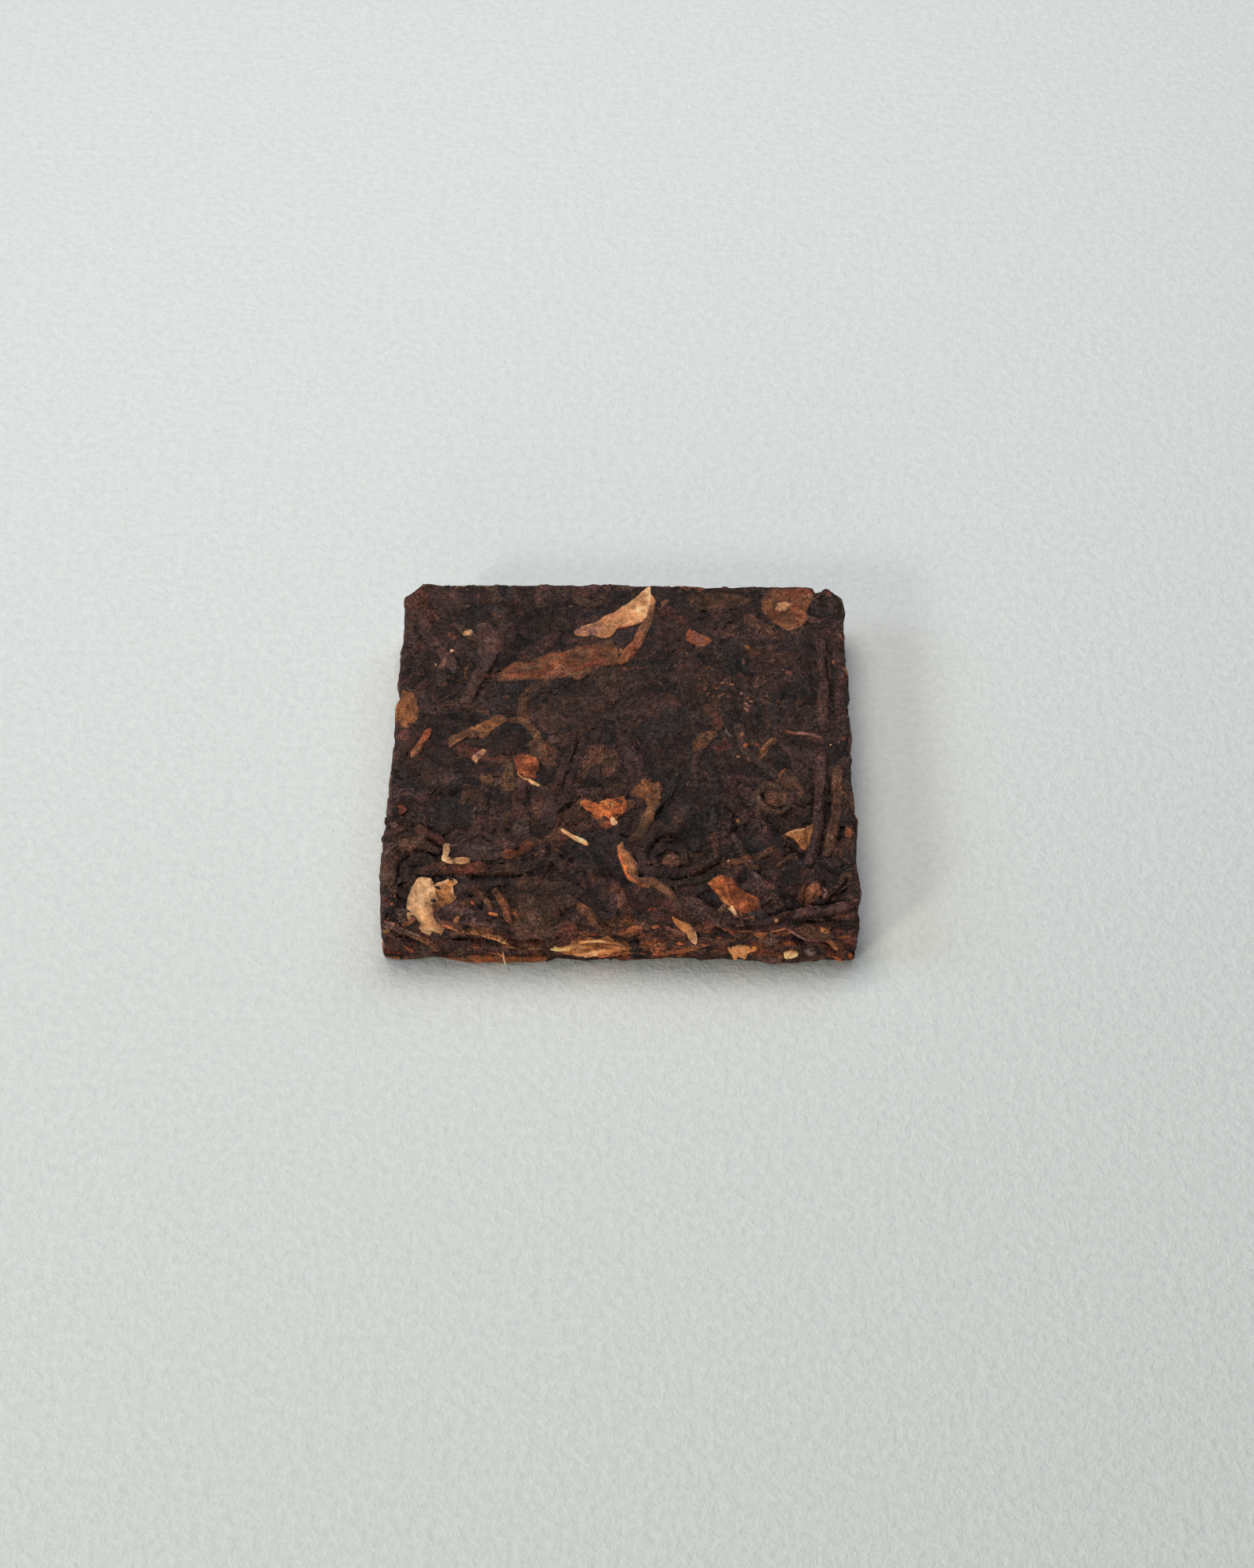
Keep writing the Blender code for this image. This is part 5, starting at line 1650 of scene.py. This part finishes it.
def main_under():
    """The lower face: flatter and closer than the upper one."""
    span = HALF + MARGIN
    face = Face("under", (-span, -span), (span, span), place_under, sink=0.16, give=0.3)
    maker = Maker(face, 23)
    heading_of = headings(maker, 7.5, 2.2)
    area = ((-HALF - PAST_EDGE, -HALF - PAST_EDGE), (HALF + PAST_EDGE, HALF + PAST_EDGE))
    litter(maker, area, 300, heading_of, 0.25, 5.0, 4.2)
    fill_gaps(maker, area)
    litter(maker, area, 300, heading_of, 0.45, 4.6, 3.0, 1.5)
    fill_holes(maker, area)
    crevices(maker, area, 200, heading_of)
    fill_holes(maker, area, 0.2)
    crumbs(maker, area, 350)
    fibres(maker, area, 110, heading_of)
    slivers(maker, area, 45, heading_of)
    under_peel(maker)
    return face


def wall_left(maker):
    """A thick rib from the corner down to the foot over a hollow with painted shade in it."""
    strand, flake, score = maker.strand, maker.flake, maker.face.score
    flake((-15.3, 1.3), (2.6, 1.6), -0.4, 0.14, "mid", ragged=0.2, vein=0.4)
    strand([(-17.5, 4.2), (-16.6, 3.8), (-15.8, 3.1), (-14.8, 2.6), (-14.0, 1.9), (-13.6, 1.4),
            (-13.4, 0.7)], 0.75, 0.34, ("purple", "purple", "brown", "umber", "purple"), 1.4,
           crown=0.8, fade=0.3)
    strand([(-17.3, 4.5), (-16.4, 4.1), (-15.6, 3.4), (-14.7, 2.9)], 0.2, 0.3, ("pink", "ash"), 1.0)
    score([(-16.2, 2.9), (-15.5, 2.3), (-14.7, 1.7)], 0.42, 0.85)
    strand([(-12.6, 2.9), (-11.6, 3.2), (-10.4, 3.2), (-9.3, 2.6), (-8.4, 2.1)], 0.65, 0.3,
           ("brown", "umber", "ochre", "tan", "cream"), 2.0, fade=0.4, ragged=0.3)
    strand([(-8.6, 1.9), (-7.2, 1.5), (-5.4, 1.5)], 0.45, 0.2, ("ochre", "umber", "brown"), 1.6)
    score([(-12.2, 2.4), (-11.0, 2.2), (-9.8, 2.2), (-8.8, 1.8)], 0.34, 0.6)


def wall_middle(maker):
    """A broad grey-brown leaf whose lower edge stands out, with a red one beside it."""
    flake, score = maker.flake, maker.face.score
    flake((-3.9, 3.5), (1.7, 2.0), 0.2, 0.16, "red", ragged=0.2, vein=0.3)
    flake((-6.4, 3.7), (4.6, 2.6), 0.05, 0.26, "olive", ragged=0.12, vein=0.5, fade=0.4)
    score([(-9.0, 4.0), (-8.7, 3.2), (-8.0, 2.3), (-5.8, 2.1), (-4.5, 2.7), (-4.2, 3.7)], 0.18, 0.5)
    flake((0.8, 3.6), (2.4, 1.6), 0.1, 0.14, "ochre", ragged=0.25, vein=0.8, fade=0.5)
    score([(-5.3, 1.0), (-4.3, 0.3), (-1.8, 0.2), (0.6, 0.5)], 0.14, 0.4)


def wall_right(maker):
    """Hollows under the twig at the upper edge, and a leaf with a pale rim."""
    strand, flake, score = maker.strand, maker.flake, maker.face.score
    score([(6.8, 3.9), (7.4, 3.4), (8.1, 3.0)], 0.36, 0.7)
    score([(13.0, 4.5), (14.4, 4.3), (15.8, 4.1), (16.9, 4.4)], 0.34, 0.75)
    flake((14.4, 3.5), (2.8, 1.5), -0.35, 0.24, "brown", ragged=0.15, vein=0.3)
    flake((15.1, 3.9), (0.9, 1.1), 0.2, 0.2, "ochre", ragged=0.15, vein=0.2)
    strand([(12.3, 3.9), (13.1, 3.2), (13.8, 2.7), (14.7, 2.5)], 0.26, 0.3, ("pink", "ash", "pink"),
           1.0)
    score([(12.7, 3.0), (13.3, 2.4), (13.6, 2.0)], 0.26, 0.7)
    flake((14.1, 1.2), (1.0, 0.8), 0.3, 0.16, "ash", ragged=0.2, fade=0.5)
    flake((11.4, 0.5), (3.2, 0.9), 0.05, 0.2, "purple", ragged=0.2)
    score([(-14.0, 0.9), (-12.4, 1.1)], 0.12, 0.4)


def edge_front(maker):
    """A long torn piece along the middle of the front, with loose strands."""
    strand, chip = maker.strand, maker.chip
    chip("peel_edge_front", [(-5.2, 1.2), (-4.6, 1.6), (-3.9, 1.6), (-3.5, 2.2), (-2.8, 2.3),
         (-2.3, 2.8), (-1.4, 2.5), (-0.9, 2.8), (-0.2, 2.2), (0.4, 2.3), (0.9, 1.8), (1.5, 1.8),
         (1.1, 1.4), (1.6, 1.1), (0.6, 0.9), (-0.2, 1.0), (-0.9, 0.6), (-1.7, 0.8), (-2.6, 0.5),
         (-3.4, 0.8), (-4.4, 0.8)], 0.2, ("tan", "gold", "tan", "ochre", "tan", "ochre", "umber"),
         "ochre", "cream", -1.6, 1.3, 0.35, 0.1, ragged=0.14, speckle=1.3, dust=1.2, fade=0.12)
    for stops, width, tint in (
        ([(-5.4, 1.4), (-4.4, 1.3), (-3.2, 1.6), (-2.0, 1.6)], 0.4,
         ("pith", "cream", "tan", "gold")),
        ([(-3.0, 2.1), (-1.8, 2.3), (-0.6, 2.1), (0.4, 1.9)], 0.34,
         ("gold", "cream", "tan", "umber")),
        ([(-3.4, 0.9), (-2.2, 1.1), (-0.8, 1.2), (0.6, 1.5)], 0.36,
         ("tan", "cream", "gold", "ochre")),
        ([(-1.4, 1.7), (-0.2, 1.6), (1.0, 1.5), (2.2, 1.7)], 0.3,
         ("ochre", "tan", "ochre", "umber")),
        ([(-1.6, 0.6), (-0.2, 0.8), (1.0, 0.9), (2.0, 0.8)], 0.28, ("orange", "umber")),
    ):
        strand(stops, width, 0.14, tint, 1.6, ragged=0.5, kind="peel_edge_front", step=0.14,
               fade=0.15)


def low_front(maker):
    """A long piece low on the front, and two thin fibres of pith over it."""
    strand, chip = maker.strand, maker.chip
    chip("peel_low_front", [(-13.8, 0.3), (-12.7, 0.4), (-11.8, 0.6), (-11.1, 0.9), (-9.0, 0.9),
         (-7.4, 0.7), (-4.9, 0.5), (-5.2, 0.0), (-6.9, -0.1), (-8.5, -0.1), (-10.5, -0.1),
         (-12.0, -0.1), (-13.5, 0.0)], 0.2, ("rust", "rust", "orange", "rust", "rust"), "umber",
         fade=0.1, ragged=0.08, speckle=1.0, dust=1.2, middle=(-9.3, 0.35))
    strand([(-8.7, 1.3), (-8.6, 0.6), (-8.4, 0.0)], 0.13, 0.24, ("cream", "pith"), 1.0,
           kind="peel_bits", step=0.12, fade=0.0)
    strand([(-9.1, 1.3), (-8.9, 1.0), (-8.7, 0.8)], 0.1, 0.2, ("tan", "cream"), 1.0,
           kind="peel_bits", step=0.12, fade=0.0)


def chip_front(maker):
    """A small torn chip right of the middle."""
    chip = maker.chip
    chip("peel_chip_front", [(8.0, 1.6), (8.5, 1.7), (9.2, 1.8), (10.4, 1.9), (10.3, 1.4),
         (9.5, 1.1), (9.4, 0.3), (9.1, 0.2), (8.8, 0.8), (8.6, 0.2), (8.3, 0.9)], 0.24,
         ("tan", "cream", "tan"), "gold", pits=0.1, ragged=0.12, speckle=1.2, dust=1.0,
         middle=(9.0, 1.3))


def wall_bits(maker):
    """Bits of peel that are too small to be pieces of their own."""
    strand, chip = maker.strand, maker.chip
    chip("peel_bits", [(9.7, 3.4), (10.2, 3.6), (11.1, 3.6), (10.8, 2.9), (10.5, 2.0), (10.1, 2.7),
         (9.8, 2.8)], 0.18, "umber", "orange", ragged=0.12, fade=0.1)
    chip("peel_bits", [(12.1, 1.3), (12.6, 1.5), (13.1, 1.3), (13.2, 0.9), (12.7, 0.7),
         (12.2, 0.8)], 0.26, "cream", "pith", ragged=0.06, cell=0.1)
    strand([(15.3, 0.9), (15.9, 0.6), (16.5, 0.1)], 0.35, 0.2, ("rust", "orange"), 1.0,
           kind="peel_bits")
    chip("peel_bits", [(-16.1, 1.9), (-15.4, 1.4), (-15.1, 0.8), (-15.6, 0.9), (-16.2, 1.4)], 0.16,
         "umber", "rust", fade=0.2)
    chip("peel_bits", [(-17.3, 0.2), (-16.9, 0.5), (-16.3, 0.4), (-15.8, 0.1), (-16.6, 0.0)], 0.14,
         "orange", "umber")


def wall_features(maker):
    """What stands out on the front wall, laid in this order."""
    for part in (wall_left, wall_middle, wall_right, edge_front, low_front, chip_front, wall_bits):
        part(maker)


def main_wall():
    """The wall all the way round, with the front's own features."""
    # The wall's pale and peel: partly its own lighter colour, partly painted light
    face = Face("wall", (-ROUND / 2, -MARGIN), (ROUND / 2, THICK + MARGIN), place_on_wall, True,
                sink=0.12, proud=0.3, give=0.26, pale=1.95, peel=1.5, lumpy=0.35)
    maker = Maker(face, 37)
    heading_of = headings(maker, 4.0, 0.3)
    area = ((-ROUND / 2 + 0.01, 0.1), (ROUND / 2 - 0.01, THICK - 0.1))
    litter(maker, area, 330, heading_of, 0.6, 4.2, 2.6, 1.0, WALL_MIX)
    fill_gaps(maker, area)
    litter(maker, area, 420, heading_of, 0.75, 3.6, 2.2, 1.3, WALL_MIX)
    crevices(maker, area, 160, heading_of, 0.3)
    crumbs(maker, area, 500, 0.38)
    fibres(maker, area, 160, heading_of)
    slivers(maker, area, 70, heading_of)
    wall_features(maker)
    return face


CORE_CELLS = (90, 90, 12)
CORE_ROUND = 0.6
CORE_ROUGHNESS = 0.12


def make_core(material):
    """The dark inside: a rounded box on a fine lattice, rough all over."""
    half = np.array([HALF, HALF, THICK / 2]) - CORE_DEPTH
    counts = np.array(CORE_CELLS)
    quads = []
    for axis in range(3):
        one, two = (axis + 1) % 3, (axis + 2) % 3
        i, j = np.meshgrid(np.arange(counts[one]), np.arange(counts[two]), indexing="ij")
        for end in (0, counts[axis]):
            corners = []
            order = ((0, 0), (1, 0), (1, 1), (0, 1)) if end else ((0, 0), (0, 1), (1, 1), (1, 0))
            for di, dj in order:
                corner = np.zeros((i.size, 3), int)
                corner[:, axis] = end
                corner[:, one], corner[:, two] = (i + di).ravel(), (j + dj).ravel()
                corners.append(corner)
            quads.append(np.stack(corners, 1))
    quads = np.concatenate(quads)
    lattice, index = np.unique(quads.reshape(-1, 3), axis=0, return_inverse=True)
    box = (lattice / counts * 2 - 1) * half
    inner = np.clip(box, -(half - CORE_ROUND), half - CORE_ROUND)
    out = box - inner
    out /= np.maximum(np.linalg.norm(out, axis=1, keepdims=True), 1e-9)
    rough = Noise(np.random.default_rng(3), 0.9, 101)
    lumps = rough(box[:, 0] + 3 * box[:, 2], box[:, 1] - 2 * box[:, 2])
    reach = CORE_ROUND + CORE_ROUGHNESS * lumps[:, None]
    places = settle(inner + out * reach + [0, 0, THICK / 2])
    flat = np.zeros((len(places), 3))
    quads = index.reshape(-1, 4)
    inside = (places, flat, places, flat[:, 0], quads, quads[:0, :3])
    return make_mesh("tea_core", [inside], material)


# ---------------------------------------------------------------- floor, light, camera


def make_floor():
    """A plain sheet of paper that the tablet rests on."""
    bpy.ops.mesh.primitive_plane_add(size=FLOOR_SIZE)
    floor = bpy.context.object
    floor.name = "floor"
    floor.data.materials.append(floor_material())
    floor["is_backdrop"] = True


def make_backdrop():
    """A plain pale room round it all, which only the camera sees."""
    bpy.ops.mesh.primitive_uv_sphere_add(segments=48, ring_count=24, radius=ROOM_RADIUS)
    room = bpy.context.object
    room.name = "backdrop"
    room.visible_diffuse = room.visible_glossy = room.visible_shadow = False
    shader = Shader("pale_room")
    shader.surface.inputs["Base Color"].default_value = (0.0, 0.0, 0.0, 1.0)
    shader.surface.inputs["Emission Color"].default_value = ROOM_COLOUR
    shader.surface.inputs["Emission Strength"].default_value = 1.0
    room.data.materials.append(shader.material)
    room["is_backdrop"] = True


def make_light():
    """Daylight from the left and from the front left, and the room's own light from above."""
    world = bpy.data.worlds.new("room")
    world.use_nodes = True
    world.node_tree.nodes["Background"].inputs["Strength"].default_value = 0.01
    bpy.context.scene.world = world
    # Name, place and size in metres, watts, colour
    for name, place, size, watts, colour in (
        ("ceiling", (-0.051, 0.089, 0.282), 0.2, 0.552, (1.0, 0.974, 0.853)),
        ("window", (-0.424, 0.0, 0.265), 0.22, 0.654, (0.597, 0.76, 1.0)),
        ("far_wall", (0.106, 0.184, 0.212), 0.2, 0.204, (0.773, 0.896, 1.0)),
        ("near_window", (-0.294, -0.35, 0.203), 0.09, 0.754, (0.919, 1.0, 0.778)),
        ("front", (-0.05, -0.5, 0.06), 0.2, 0.65, (1.0, 0.84, 0.74)),
    ):
        light = bpy.data.lights.new(name, "AREA")
        light.size = size
        light.energy = watts
        light.color = colour
        lamp = bpy.data.objects.new(name, light)
        lamp.location = place
        lamp.rotation_euler = (-Vector(place)).to_track_quat("-Z", "Y").to_euler()
        bpy.context.scene.collection.objects.link(lamp)


# The photograph's camera, worked out from the tablet's corners: degrees and millimetres
CAMERA_ELEVATION = 47.35
CAMERA_AZIMUTH = 0.46
CAMERA_DISTANCE = 261.3
CAMERA_AIM = (0.38, 0.34, 0.0)
CAMERA_LENS = 77.0
SENSOR_WIDTH = 36.0


def photo_camera():
    """Look at the tablet from where the photograph was taken."""
    camera = bpy.data.objects.new("camera", bpy.data.cameras.new("camera"))
    camera.data.lens = CAMERA_LENS
    camera.data.sensor_width = SENSOR_WIDTH
    camera.data.clip_start = 0.01
    rise, turn = np.radians(CAMERA_ELEVATION), np.radians(CAMERA_AZIMUTH)
    back = Vector((np.sin(turn) * np.cos(rise), -np.cos(turn) * np.cos(rise), np.sin(rise)))
    aim = Vector(CAMERA_AIM) * MM
    camera.location = aim + back * CAMERA_DISTANCE * MM
    camera.rotation_euler = (-back).to_track_quat("-Z", "Y").to_euler()
    bpy.context.scene.collection.objects.link(camera)
    bpy.context.scene.camera = camera


# ---------------------------------------------------------------- the whole

SLOTS = {part["node"]: part["material_slot"] for part in frame["record"]["subparts"]}
leaf_look, peel_look = leaf_material(), peel_material()
core = make_core(core_material())
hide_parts("tea_brick")

shells = {}
for face in (main_top(), main_under(), main_wall()):
    face.press()
    for leaf in face.leaves:
        is_peel = leaf.kind.startswith("peel")
        name = leaf.kind if is_peel else f"{leaf.kind}_{face.name}"
        shells.setdefault(name, []).append(shell(leaf, face))
for name, group in sorted(shells.items()):
    is_peel = name.startswith("peel")
    visual = name + "_torn" if name in SLOTS else name
    piece = make_mesh(visual, group, peel_look if is_peel else leaf_look)
    if name in SLOTS:
        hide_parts(name)
    SLOTS.get(name, "tan_peel" if is_peel else "tea")

make_floor()
make_backdrop()
make_light()
photo_camera()
bpy.context.scene.view_settings.view_transform = "Standard"

boxes = {"cad": CAD_BOX, "visual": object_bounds()}
{name: [list(map(float, corner)) for corner in box] for name, box in boxes.items()}
